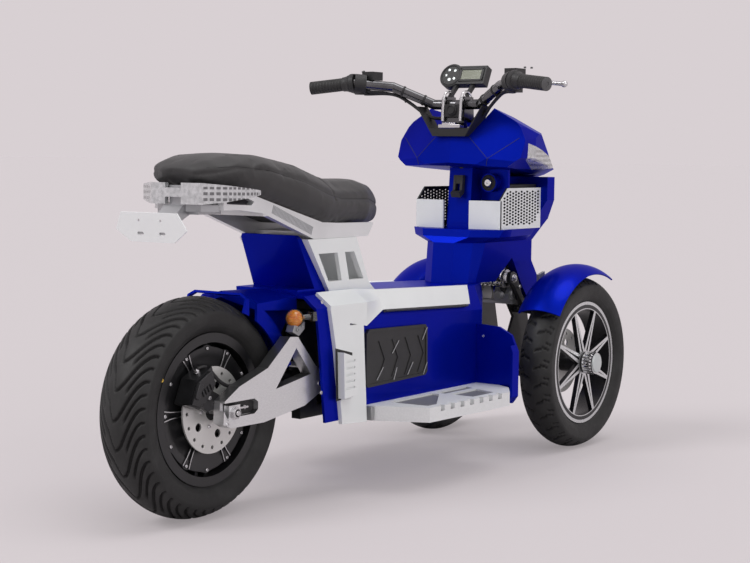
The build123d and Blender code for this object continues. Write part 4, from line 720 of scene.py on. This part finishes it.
class Shape:
    """Closed solids gathered into one piece, in millimetres of the part's frame."""

    def __init__(self):
        self.points, self.faces = [], []

    def add(self, points, faces):
        base = len(self.points)
        self.points += [tuple(p) for p in points]
        self.faces += [tuple(base + i for i in face) for face in faces]
        return self

    def prism(self, outline, axis, low, high):
        """An outline drawn across an axis, thickened between two values on it."""
        n = len(outline)
        at = ((lambda a, b, c: (c, a, b)), (lambda a, b, c: (a, c, b)), (lambda a, b, c: (a, b, c)))[axis]
        points = [at(a, b, low) for a, b in outline] + [at(a, b, high) for a, b in outline]
        sides = [(i, i + n, (i + 1) % n + n, (i + 1) % n) for i in range(n)]
        return self.add(points, [tuple(range(n)), tuple(range(2 * n - 1, n - 1, -1))] + sides)

    def lathe(self, profile, centre, direction, sides=32):
        """(radius, along) pairs turned about a direction; a third entry makes that ring a hexagon."""
        axis = Vector(direction).normalized()
        side = axis.orthogonal().normalized()
        other = axis.cross(side)
        points = []
        for radius, along, *six in profile:
            for i in range(sides):
                t = 2 * math.pi * i / sides
                r = radius / math.cos(t % (math.pi / 3) - math.pi / 6) if six else radius
                points.append(Vector(centre) + axis * along + (side * math.cos(t) + other * math.sin(t)) * r)
        last = (len(profile) - 1) * sides
        caps = [tuple(range(sides)), tuple(range(last + sides - 1, last - 1, -1))]
        return self.add(points, caps + ring_faces(len(profile) - 1, len(profile), sides))

    def wavy(self, hub, rings, closed=False):
        """Rings round a wheel's middle as (radii, y); closed joins the last ring to the first."""
        n = len(rings[0][0])
        turns = [2 * math.pi * i / n for i in range(n)]
        points = [(r * math.cos(t) + hub[0], y, r * math.sin(t) + hub[1]) for radii, y in rings
                  for r, t in zip(radii, turns)]
        return self.add(points, ring_faces(len(rings) - (not closed), len(rings), n))

    def tube(self, points, radius, sides=12, smooth=6):
        """A round tube along a smooth line through points."""
        line = knots = [Vector(p) for p in points]
        if smooth > 1:
            padded = [2 * knots[0] - knots[1]] + knots + [2 * knots[-1] - knots[-2]]
            line = []
            for a, b, c, d in zip(padded, padded[1:], padded[2:], padded[3:]):
                for t in (i / smooth for i in range(smooth)):
                    line.append(0.5 * ((2 * b) + (c - a) * t + (2 * a - 5 * b + 4 * c - d) * t * t
                                       + (3 * b - a - 3 * c + d) * t ** 3))
            line.append(knots[-1])
        side = (line[1] - line[0]).orthogonal().normalized()
        made = []
        for k, point in enumerate(line):
            ahead = (line[min(k + 1, len(line) - 1)] - line[max(k - 1, 0)]).normalized()
            side = (side - ahead * side.dot(ahead)).normalized()
            other = ahead.cross(side)
            for t in (2 * math.pi * i / sides for i in range(sides)):
                made.append(point + (side * math.cos(t) + other * math.sin(t)) * radius)
        end = (len(line) - 1) * sides
        caps = [tuple(range(sides)), tuple(range(end + sides - 1, end - 1, -1))]
        return self.add(made, ring_faces(len(line) - 1, len(line), sides) + caps)

    def bolt(self, at, direction, r=3.2, h=3.0):
        """A cap screw's head with its hexagon socket."""
        return self.lathe([(r, -0.6), (r, 0.8 * h), (0.84 * r, h), (0.5 * r, h, 6), (0.46 * r, 0.35 * h, 6),
                           (0.0, 0.35 * h)], at, direction, 24)

    def nut(self, at, direction, r, h):
        """A washer and a hexagon nut on its threaded end."""
        return self.lathe([(1.35 * r, -0.6), (1.35 * r, 1.2), (r, 1.2, 6), (r, h - 0.8, 6), (0.92 * r, h),
                           (0.55 * r, h), (0.5 * r, h + 2), (0, h + 2)], at, direction, 24)

    def both(self):
        """The same again, mirrored to the other side."""
        n = len(self.points)
        self.points += [(x, -y, z) for x, y, z in self.points]
        self.faces += [tuple(n + i for i in reversed(face)) for face in self.faces]
        return self

    def make(self, name, body, slot, finish=None, edge=0.0, stands_for=()):
        """The piece, with its edges rounded by a width in millimetres."""
        mesh = mesh_from(name, [(x / 1000, y / 1000, z / 1000) for x, y, z in self.points], self.faces)
        work = bmesh.new()
        work.from_mesh(mesh)
        bmesh.ops.remove_doubles(work, verts=work.verts, dist=2e-6)
        bmesh.ops.recalc_face_normals(work, faces=work.faces)
        work.to_mesh(mesh)
        work.free()
        piece = add_piece(name, mesh, body, slot, finish, stands_for)
        mesh.set_sharp_from_angle(angle=math.radians(32))
        if edge:
            round_edges(piece, edge, 2, 32)


def ring_faces(steps, rings, n):
    """Faces between rings of n points, one step after another, the last ring going on to the first."""
    return [(k * n + i, k * n + (i + 1) % n, (k + 1) % rings * n + (i + 1) % n, (k + 1) % rings * n + i)
            for k in range(steps) for i in range(n)]


def on_circle(hub, radius, degrees):
    """The (x, z) of a point on a wheel."""
    t = math.radians(degrees)
    return hub[0] + radius * math.cos(t), hub[1] + radius * math.sin(t)


def turned(outline, hub, degrees):
    """An outline of (u, v) from a wheel's middle, turned about it."""
    ca, sa = math.cos(math.radians(degrees)), math.sin(math.radians(degrees))
    return [(hub[0] + u * ca - v * sa, hub[1] + u * sa + v * ca) for u, v in outline]


def inside(point, outline, margin):
    """Whether a point lies inside a convex outline by a margin."""
    sign = 0
    for (ax, az), (bx, bz) in zip(outline, outline[1:] + outline[:1]):
        off = ((bx - ax) * (point[1] - az) - (bz - az) * (point[0] - ax)) / math.hypot(bx - ax, bz - az)
        sign = sign or (1 if off > 0 else -1)
        if off * sign < margin:
            return False
    return True


# Side grilles: a white skin pierced with stretched hexagons over a black core; the core is painted shade that gives
# the holes black walls
VENT = [(395, 583.3), (601.7, 583.3), (601.7, 690), (430, 690), (395, 657)]
VENT_FIELD = [(397, 585), (575, 585), (601.7, 628), (601.7, 690), (430, 690), (397, 657)]
VENT_START, VENT_STEP_X, VENT_STEP_Z, VENT_MARGIN = (401, 588), 14.4, 8.0, 7.2
HEXAGON = ((-6.4, 0), (-3.4, -2.7), (3.4, -2.7), (6.4, 0), (3.4, 2.7), (-3.4, 2.7))
VENT_HOLES = []
for column in range(-1, 15):
    for row in range(-1, 15):
        spot = (VENT_START[0] + VENT_STEP_X * column,
                VENT_START[1] + VENT_STEP_Z * row + VENT_STEP_Z / 2 * (column % 2))
        if inside(spot, VENT_FIELD, VENT_MARGIN):
            VENT_HOLES.append([(spot[0] + dx, spot[1] + dz) for dx, dz in HEXAGON])


def pierced(low, high):
    """The grille plate between two y values, as points and faces in millimetres."""
    curve = bpy.data.curves.new("pierced", "CURVE")
    curve.dimensions = "2D"
    curve.fill_mode = "BOTH"
    curve.extrude = (high - low) / 2000
    for outline in [VENT] + VENT_HOLES:
        spline = curve.splines.new("POLY")
        spline.points.add(len(outline) - 1)
        for point, (x, z) in zip(spline.points, outline):
            point.co = (x / 1000, z / 1000, 0, 1)
        spline.use_cyclic_u = True
    holder = link(bpy.data.objects.new("pierced", curve))
    mesh = baked(holder)
    bpy.data.objects.remove(holder)
    points = [(v.co.x * 1000, (low + high) / 2 - v.co.z * 1000, v.co.y * 1000) for v in mesh.vertices]
    faces = [tuple(p.vertices) for p in mesh.polygons]
    bpy.data.meshes.remove(mesh)
    return points, faces


skin = Shape().add(*pierced(128.8, 130)).both()
rear_plate = Shape().prism([(386, 40), (392, 40), (401, 124), (401, 130), (395, 130)], 2, 583.3, 657).both()
skin.add(rear_plate.points, rear_plate.faces).make("vent_skins", "chassis", "paint_white", stands_for=("side_vents",))
# Black walls behind the white skin, a painted shade that darkens the holes.
Shape().add(*pierced(124, 128.8)).both().make("vent_shade_cores", "chassis", "plastic_black", "liner_black")
# A black box behind the right grille, a painted shade: what is seen through its holes is dark.
Shape().prism([(462, 584), (600, 584), (600, 699), (462, 699)], 1, -117, -41).make(
    "grille_shade_box", "chassis", "plastic_black", "liner_black", 2.0)

# Cowl: black lining of the stem's well, and the clamp's fittings
Shape().prism([(-101, 899.6), (-50, 822.4), (50, 822.4), (101, 899.6), (97.5, 899.6), (60, 843), (-60, 843),
               (-97.5, 899.6)], 0, 346, 394).make("well_lining", "chassis", "plastic_black", "liner_black")
clamps = Shape()
thread = [(r, 4 + 3.2 * i + d) for i in range(17) for r, d in ((4.2, 0), (5.2, 0.8), (5.2, 2.0), (4.2, 2.8))]
for y in (-27, 27):
    clamps.lathe([(4.2, 0)] + thread + [(4.2, 62)], (359, y, 862), (0.06, 0, 1), 20)
    clamps.bolt((365.5, y, 915), (-1, 0, 0), 5, 4)
    clamps.tube([(361, y, 920), (372, y, 934), (392, y, 937), (410, y, 926)], 3.6)
    for x in (376, 402):
        clamps.bolt((x, y, 924), (0, 0, 1), 3.6, 4)
clamps.make("clamp_fittings", "steering", "bar_polished", "chrome")
Shape().prism([(346.5, 844), (368, 844), (368, 849), (346.5, 853)], 1, -33, 33).prism(
    [(347, 850), (352, 850), (352, 857), (347, 857)], 1, -18, 22).make(
    "well_plate", "chassis", "silver", "bolt_steel", 0.8)
Shape().lathe([(15, 0), (15, 3), (12, 5), (12, 9), (9.5, 9), (9, 6.5), (0, 6.5)], (361, 0, 890), (-1, 0, 0.1)).prism(
    [(-34, 872), (34, 872), (30, 905), (-30, 905)], 0, 360, 366).make(
    "stem_block", "steering", "plastic_black", "liner_black", 1.0)

# Dash: framed screen and a round cluster of keys, on the leaning face
LEAN = math.radians(25)
LIFT = Vector((-math.cos(LEAN), 0, math.sin(LEAN)))


def dash(u, v, w):
    """A point across, up and out of the dash's face."""
    return (436 + v * math.sin(LEAN) - w * math.cos(LEAN), u, 978 + v * math.cos(LEAN) + w * math.sin(LEAN))


def dash_slab(shape, u0, u1, v0, v1, w0, w1):
    corners = [dash(u, v, w) for w in (w0, w1) for u, v in ((u0, v0), (u1, v0), (u1, v1), (u0, v1))]
    return shape.add(corners, [(0, 1, 2, 3), (7, 6, 5, 4), (0, 4, 5, 1), (1, 5, 6, 2), (2, 6, 7, 3), (3, 7, 4, 0)])


dash_slab(Shape(), -47, 13, -13, 14, 11.5, 12.4).make("dash_screen", "steering", "plastic_black", "lcd")
bezel = Shape()
for slab in ((-54, -47, -18, 19), (13, 19, -18, 19), (-54, 19, 14, 19), (-54, 19, -18, -13)):
    dash_slab(bezel, *slab, 11.5, 14)
bezel.make("dash_bezel", "steering", "plastic_black", "plastic_black", 0.9)
Shape().lathe([(30, -1), (30, 1.4), (27.5, 2.2), (26, 0.8), (26, -0.5)], dash(46, 0, 12), LIFT, 48).make(
    "dash_ring", "steering", "plastic_black")
pads = Shape()
for u, v, r in ((36, 13, 4.4), (54, 15, 4.4), (34, -10, 4.4), (48, -13, 5.2), (60, 0, 3.4)):
    pads.lathe([(r, -1), (r, 0.6), (r * 0.8, 1.6), (0, 1.9)], dash(u, v, 12), LIFT, 20)
pads.make("dash_keys", "steering", "plastic_grey", "cap_pale")

# Bar ends, throttle collars, levers, hoses and switch keys, from the grip's two ends and the bar's bends
caps, collars, levers, hoses, keys, straps = (Shape() for _ in range(6))
inner, outer = Vector((262, -248, 958)), Vector((227, -351, 946))
elbow, clamp_end = Vector((330, -165, 950)), Vector((384, -70, 905))
along = (outer - inner).normalized()
inward = (elbow - inner).normalized()
caps.lathe([(16, -2), (16.6, 0), (14.4, 0.7), (10, 1.7), (6, 1.8), (5, 0.2), (0, 0.2)], outer + along * 4, along)
collars.lathe([(24.6, -8), (25.2, -2), (24.6, 3), (22, 5), (22.4, 8), (20.4, 12), (19, 18), (18.6, 24), (17.2, 26),
               (17.2, 24)], inner, along, 48)
tip, pivot = Vector((330, -345, 950)), inner + inward * 20 + Vector((34, 0, 4))
levers.tube([pivot, pivot.lerp(tip, 0.5), tip], 5.5, 14, 1)
levers.lathe([(0, -8.6), (5, -7), (8.0, -3.2), (8.6, 0), (8.0, 3.2), (5, 7), (0, 8.6)], tip, (tip - pivot), 20)
levers.nut(pivot + Vector((0, 0, 8)), (0, 0, 1), 4.5, 4)
for shift, r in (((8, -6, -24), 4.4), ((4, 4, -17), 3.4), ((12, 8, -20), 3.0)):
    hoses.tube([elbow.lerp(inner, 0.7) + Vector(shift), elbow + Vector((shift[0] + 4, 6, -22)),
                (376, -84, 880 - r), (392 + r, -48, 868), (398 + r, -36, 858)], r, 12, 8)
for t in (0.25, 0.75):
    at = elbow.lerp(clamp_end, t)
    straps.lathe([(13.2, -3), (14.6, -2.4), (14.6, 2.4), (13.2, 3)], at, (clamp_end - elbow).normalized(), 24)
    straps.tube([at + Vector(shift) for shift in ((6, 0, -12), (9, 2, -24), (2, 6, -27))], 2.6, 8, 4)
for dx, dy, dz, r in ((-8, 2, 4, 5.0), (-7, 3, -16, 4.2), (34, 14, 34, 3.2), (46, 26, 33.5, 3.2)):
    keys.lathe([(r, -1), (r, 2), (0.8 * r, 3.2), (0, 3.4)], inner + inward * 22 + Vector((dx, -dy, dz)),
               (0, 0, 1) if dz > 30 else (-1, -0.2, 0), 20)
for shape, name, slot, finish in ((caps, "grip_caps", "rubber_black", "plastic_grey_dark"),
                                  (collars, "throttle_collars", "plastic_black", None),
                                  (levers, "lever_blades", "bar_polished", "bolt_steel"),
                                  (hoses, "bar_hoses", "rubber_black", "liner_black"),
                                  (straps, "hose_straps", "rubber_black", "liner_black"),
                                  (keys, "switch_keys", "plastic_grey", "plastic_grey_dark")):
    shape.both().make(name, "steering", slot, finish)

# Key lock
LOCK_AT = (430, -72, 703)
lock = Shape().lathe([(21, -0.5), (21, 1.6), (18.6, 2.4), (17.4, 1.0), (13, 1.0), (13, 2.6), (11.6, 3.0), (10.6, 1.4),
                      (10.6, -0.5)], LOCK_AT, (-1, 0, 0), 40)
for i in range(8):
    t = math.radians(20 + 45 * i)
    lock.prism([(LOCK_AT[1] + 15.3 * math.cos(t + a) * k, LOCK_AT[2] + 15.3 * math.sin(t + a) * k)
                for a, k in ((-.08, .93), (.08, .93), (.08, 1.07), (-.08, 1.07))], 0, 427.8, 430)
lock.make("lock_bezel", "chassis", "plastic_black", "liner_black")
Shape().lathe([(9.6, 0), (9.6, 5), (8.6, 6.2), (3, 6.2, 6), (2.6, 4, 6), (0, 4)], LOCK_AT, (-1, 0, 0)).make(
    "lock_barrel", "chassis", "silver", "chrome")

# Rear wheel: motor cover with lobes and rib pairs, bolts, disc bolts, paint dot
COVER_POINTS = 144
cover, ribs, wheel_bolts = Shape(), Shape(), Shape()
lobes = [133 + 4.5 * max(0.0, math.cos(12 * 2 * math.pi * i / COVER_POINTS)) ** 2 for i in range(COVER_POINTS)]
for side in (-1, 1):
    steps = ((60, 38), (lobes, 38), (lobes, 40), ([r - 1.5 for r in lobes], 41.5), (116, 41.5), (112, 39.5),
             (64, 39.5), (60, 41))
    cover.wavy(REAR_HUB, [(r if isinstance(r, list) else [r] * COVER_POINTS, side * y) for r, y in steps], True)
    for pair in range(6):
        for off in (-7, 7):
            bar = [(66, off * 0.6 - 1.4), (112, off - 1.4), (132, off * 1.5 - 1.6), (132, off * 1.5 + 1.6),
                   (112, off + 1.4), (66, off * 0.6 + 1.4)]
            ribs.prism(turned(bar, REAR_HUB, 60 * pair), 1, *sorted((side * 39, side * 44)))
    for i in range(12):
        x, z = on_circle(REAR_HUB, 129, 30 * i)
        wheel_bolts.bolt((x, side * 41.5, z), (0, side, 0), 3.6, 3.2)
for i in range(5):
    x, z = on_circle(REAR_HUB, 36, 36 + 72 * i)
    wheel_bolts.bolt((x, -58, z), (0, -1, 0), 4.2, 3.4)
cover.make("motor_cover", "rear_wheel", "rim_dark")
ribs.make("motor_ribs", "rear_wheel", "rim_dark", "rib_edge", 0.6)
wheel_bolts.make("motor_bolts", "rear_wheel", "disc_steel", "bolt_steel")
Shape().lathe([(4, -1.5), (4, 0.8), (3, 1.2), (2, 0.7), (0, 0.7)], (-796, -60.2, 315), (0.1, -1, 0)).make(
    "balance_dot", "rear_wheel", "tyre", "dot_yellow")

# Swingarm fittings, axle nuts, caliper fittings and its hose
fittings = Shape()
for side in (-1, 1):
    fittings.nut((REAR_HUB[0], side * 119, REAR_HUB[1]), (0, side, 0), 11, 9)
    for x, y, z, r, h in ((-596, 104, 242, 5, 6), (-612, 104, 233, 3.6, 6), (-660, 116, 213, 4.6, 2.5)):
        fittings.bolt((x, side * y, z), (0, side, 0), r, h)
    fittings.lathe([(6, -0.5), (6, 2), (4, 3), (0, 3)], (-346, side * 116, 266), (0, side, 0), 24)
    fittings.lathe([(3, 0), (3, 34)], (-622, side * 110, 242), (1, 0, 0), 16)
for x, z, r in ((-728, 268, 5.5), (-700, 302, 5.0), (-686, 270, 4.4), (-716, 286, 3.4)):
    fittings.bolt((x, -87.8, z), (0, -1, 0), r, 5)
fittings.nut((-700, -68, 322), (-0.2, 0, 1), 5, 6).make("rear_fittings", "chassis", "silver", "bolt_steel")
block = Shape().prism([(-742, 262), (-724, 304), (-684, 326), (-672, 300), (-694, 268), (-718, 254)], 1, -94, -87.7)
block.prism([(-738, 276), (-724, 306), (-712, 300), (-726, 270)], 1, -99, -94)
for i in range(4):
    rib = ((-714, 286), (-710, 288), (-704, 276), (-708, 274))
    block.prism([(x + 8 * i, z + 4 * i) for x, z in rib], 1, -97, -94)
block.make("rear_caliper_ribs", "chassis", "steel_black", None, 1.2)
Shape().tube([(-700, -68, 330), (-676, -74, 330), (-640, -82, 296), (-600, -83, 286), (-528, -83, 307),
              (-470, -83, 352), (-436, -83, 362)], 4, 12, 8).make(
    "rear_hose", "chassis", "rubber_black", "liner_black")
Shape().prism([(-659, 257), (-572, 257), (-561, 250), (-561, 234), (-572, 227), (-659, 227)], 1, -104.9, -103.6
              ).both().make("slot_floor", "chassis", "steel_black", "liner_black")

# Indicators: dark rim, reflector rings, cast bracket
face, at = Vector((-0.86, -0.42, 0.10)).normalized(), Vector((-428, -108, 416))
Shape().lathe([(19.4, -3), (20.4, -1.5), (20.4, 2), (19.2, 3)], at, face, 40).both().make(
    "indicator_rims", "chassis", "lamp_amber", "liner_black")
Shape().lathe([(17, 8.5), (15, 13), (10, 16.6), (9.4, 18.4), (6.4, 19.4), (6, 20.4), (0, 20.8)], at, face, 40
              ).both().make("indicator_fronts", "chassis", "lamp_amber")
Shape().prism([(-440, 402), (-446, 388), (-424, 378), (-404, 392), (-404, 408), (-420, 404)], 1, -118, -98).bolt(
    (-430, -118, 392), (0, -1, 0), 4.5, 3.5).bolt((-414, -118, 399), (0, -1, 0), 3.4, 3).both().make(
    "indicator_brackets", "chassis", "alu_cast", None, 1.6)

# Front hubs, spoke pockets, disc bolts and caliper bolts
SLEEVE_POINTS, SLEEVE_WAVES = 160, 20
for side_name, side in (("left", 1), ("right", -1)):
    wheel, wy = "front_wheel_" + side_name, side * TRACK_HALF
    rings = [([r + wave * math.cos(SLEEVE_WAVES * 2 * math.pi * i / SLEEVE_POINTS) for i in range(SLEEVE_POINTS)],
              wy + side * y)
             for r, y, wave in ((28.1, 39.5, 0), (29.2, 41, 1.0), (29.2, 62, 1.0), (28.1, 65, 0), (27.6, 68.8, 0))]
    Shape().wavy(FRONT_HUB, rings).make("hub_sleeve_" + side_name, wheel, "rim_silver", "chrome")
    Shape().lathe([(24.6, -0.5), (24.6, 1.6), (23.4, 2.6), (20, 3.0), (0, 3.4)],
                  (FRONT_HUB[0], wy + side * 69, FRONT_HUB[1]), (0, side, 0), 48).make(
        "hub_cap_" + side_name, wheel, "rim_silver", "cap_pale")
    pockets, dots, caliper = Shape(), Shape(), Shape()
    for i in range(8):
        pockets.prism(turned([(27, -6.4), (27, 6.4), (127, 0.7), (127, -0.7)], FRONT_HUB, 22.5 + 45 * i), 1,
                      *sorted((wy + side * 22, wy + side * 29)))
    pockets.make("spoke_pockets_" + side_name, wheel, "rim_silver", "liner_black")
    for i in range(5):
        x, z = on_circle(FRONT_HUB, 22, 72 * i)
        dots.bolt((x, wy - side * 36, z), (0, -side, 0), 3.4, 2.4)
    dots.make("disc_bolts_" + side_name, wheel, "disc_steel", "bolt_steel")
    for x, z, r in ((545, 208, 4.5), (556, 262, 4.5), (566, 226, 3.4)):
        caliper.bolt((x, side * 196, z), (0, side, 0), r, 3).bolt((x, side * 164, z), (0, -side, 0), r, 4)
    caliper.nut((644, side * 137, 240), (-1, 0, 0), 6, 6).make(
        "caliper_bolts_" + side_name, "knuckle_" + side_name, "silver", "bolt_steel")

# Front suspension: a real coil over its damper, black rockers with bolts and cast housings
SHOCK_X, SHOCK_Z, ROCKER_Y = 546, 448, 84
COIL_R, COIL_TURNS, COIL_STEPS, WIRE_R = 20.0, 8.5, 220, 3.9
coil = [(SHOCK_X + COIL_R * math.cos(t), y, SHOCK_Z + COIL_R * math.sin(t)) for t, y in
        ((2 * math.pi * COIL_TURNS * i / COIL_STEPS, -58 + 116 * i / COIL_STEPS) for i in range(COIL_STEPS + 1))]
Shape().tube(coil, WIRE_R, 10, 1).make("shock_coil", "chassis", "steel_black", "chrome")
Shape().lathe([(9, -84), (9, -70), (14, -70), (14, -64), (22.5, -64), (22.5, -60), (12, -60), (12, 0), (7, 0),
               (7, 60), (22.5, 60), (22.5, 64), (14, 64), (14, 70), (9, 70), (9, 84)], (SHOCK_X, 0, SHOCK_Z),
              (0, 1, 0)).make("shock_damper", "chassis", "steel_black", "bolt_steel", 0.0, ("front_shock",))
rockers, joints = Shape(), Shape()
for low, high in ((-ROCKER_Y, -70), (70, ROCKER_Y)):
    rockers.prism([(598, 369.6), (610, 369.6), (562, 460), (548, 466), (534, 464), (530, 448), (532, 436),
                   (548, 428)], 1, low, high)
rockers.make("shock_rockers", "chassis", "steel_black", None, 2.0)
for side in (-1, 1):
    joints.nut((SHOCK_X, side * ROCKER_Y, SHOCK_Z), (0, side, 0), 8, 6)
    joints.nut((602, side * ROCKER_Y, 378), (0, side, 0), 6, 5).bolt((574, side * ROCKER_Y, 424), (0, side, 0), 5, 4)
    joints.lathe([(13, -6), (15, -3), (15, 3), (13, 6)], (SHOCK_X, side * 64, SHOCK_Z), (0, 1, 0))
    for x, z in ((672, 196), (584, 196), (652, 362), (604, 362)):
        joints.nut((x, side * 69, z), (0, side, 0), 6, 5)
joints.make("front_joints", "chassis", "silver", "bolt_steel")
cast = Shape().prism([(556, 384), (600, 384), (604, 398), (598, 420), (562, 420), (552, 404)], 1, -66, -18)
cast.lathe([(15, -69), (17, -66), (17, -40), (20, -38), (20, -30), (15, -28)], (578, 0, 404), (0, 1, 0), 32)
cast.lathe([(10, 0), (12, 3), (12, 16), (8, 18), (8, 24)], (560, -42, 402), (-1, 0, 0), 24)
for x, z in ((562, 390), (594, 390), (592, 414), (566, 414)):
    cast.bolt((x, -66, z), (0, -1, 0), 3.6, 3)
cast.both().prism([(566, 376), (592, 376), (592, 385), (566, 385)], 1, -68, 68).make(
    "lean_housing", "chassis", "alu_cast", None, 1.4)

# Trim, pads, plate and rail details
slashes, teeth, ridges, screws = (Shape() for _ in range(4))
# Pale strokes on the tunnel pads, painted highlights on the edges of their chevrons.
for x, z, lean in ((-84, 325, 26), (38, 346, 20), (-146, 268, 24), (-84, 262, 12), (-22, 268, 22), (42, 262, 16)):
    slashes.prism([(x - lean / 2, z - 14), (x - lean / 2 + 2.4, z - 14), (x + lean / 2 + 2.4, z + 14),
                   (x + lean / 2, z + 14)], 1, -138.9, -137.5)
slashes.both().make("pad_highlight_strokes", "chassis", "plastic_black", "plastic_grey")
# A thin black sheet round the passenger peg, a painted shade in the gap about it.
Shape().prism([(-330, 226), (-266, 231), (-271, 330), (-334, 345)], 1, -150.28, -149.6).both().make(
    "peg_gap_shade", "chassis", "plastic_black", "liner_black")
Shape().prism([(-204, 168), (-196.3, 168), (-196.3, 199), (-206, 199)], 1, -158, -130.4).both().make(
    "board_brackets", "chassis", "alu_cast", None, 1.0)
for i in range(58):
    x = -118 + 6.2 * i
    deck = 462 - 18 * min(max((x + 228) / 500, 0), 1)
    teeth.prism([(127, deck - 50), (137, deck - 46), (137, deck - 43), (127, deck - 43)], 0, x, x + 3.4)
teeth.both().make("band_teeth", "chassis", "paint_white", "plastic_grey_dark")
# Strips on the rail's sides, darker grey than the silver rail as painted shade, so that its ridges show.
start, end = Vector((-352, 0, 604)), Vector((-500, 0, 658))
way = (end - start).normalized()
half = Vector((way.z, 0, -way.x)) * 9
for i in range(34):
    a = start + way * (i * 4.4)
    b = a + way * 2.2
    ridges.prism([(p.x, p.z) for p in (a - half, b - half, b + half, a + half)], 1, -97.0, -95.6)
ridges.both().make("rail_ridges", "chassis", "silver", "plastic_grey")
tilt = math.radians(12)
back = Vector((-math.cos(tilt), 0, -math.sin(tilt)))
for y in (-30, 30):
    centre = Vector((-763.5, y, 622)) + Vector((-math.sin(tilt), 0, math.cos(tilt))) * 14
    screws.lathe([(3.2, -3.5), (3.2, 1.4), (2.6, 2.2), (0, 2.4)], centre + back, back, 20)
screws.make("plate_screws", "chassis", "silver", "bolt_steel")

# Fasteners of the bodywork
fasteners = Shape()
for x, z in ((-372, 450), (-372, 250), (-300, 200)):
    fasteners.bolt((x, -139.9, z), (0, -1, 0), 4, 1.6)
for z in (190, 320):
    fasteners.bolt((288, -150, z), (-1, 0, 0), 4, 1.8)
fasteners.both().make("body_screws", "chassis", "silver", "bolt_steel")


def on_saddle(origin, aim):
    """Where a line from outside meets the saddle, sunk a little, in millimetres."""
    hit, normal, *_ = SADDLE_SKIN.ray_cast(Vector(origin), Vector(aim))
    return None if hit is None else tuple((hit - normal * 0.0004) * 1000)


# Seams of the saddle: a welt along each side, two on the pillion's top and one over the step, as cords blacker than
# the vinyl; that black is painted shade of the sewn creases
lines = []
for side in (-1, 1):
    stations = [-0.672 + 0.0132 * i for i in range(49)]
    lines.append([on_saddle((x, side * 0.4, float(np.interp(x, SADDLE_X, WELT_Z))), (0, -side, 0)) for x in stations])
    lines.append([on_saddle((-0.61 + 0.012 * i, side * (0.066 + 0.0011 * i), 1.0), (0, 0, -1)) for i in range(22)])
lines.append([on_saddle((-0.352 + 0.55 * abs(y), y, 1.0), (0, 0, -1)) for y in np.linspace(-0.085, 0.085, 25)])
seams = Shape()
for line in lines:
    kept = [p for p in line if p]
    if len(kept) > 2:
        seams.tube(kept, 0.9, 8, 2)
# The cords' black, darker than the vinyl, is painted shade in the seams.
seams.make("saddle_seams", "chassis", "seat_vinyl", "liner_black")

# Panel seams of the cowl's rear as dark lines along the creases between its facets, a painted shade: (y, z) lines in
# millimetres, laid on its skin
COWL_LINES = (((52, 820), (108, 766)), ((108, 766), (176, 819)), ((108, 766), (104, 748)))
COWL_REAR_X = 0.42
COWL_SKIN = skin_of(NODES["head_cowl"].data)
crease_shade = Shape()
for side in (-1, 1):
    for (y0, z0), (y1, z1) in COWL_LINES:
        line = []
        for t in (i / 14 for i in range(15)):
            spot = Vector((0.2, side * (y0 + (y1 - y0) * t) / 1000, (z0 + (z1 - z0) * t) / 1000))
            hit = COWL_SKIN.ray_cast(spot, Vector((1, 0, 0)))[0]
            if hit is not None and hit.x < COWL_REAR_X:
                line.append(hit * 1000)
        if len(line) > 2:
            crease_shade.tube(line, 0.7, 8, 1)
# Black tubes as painted shade in the creases.
crease_shade.make("cowl_crease_shade", "chassis", "paint_blue", "liner_black")
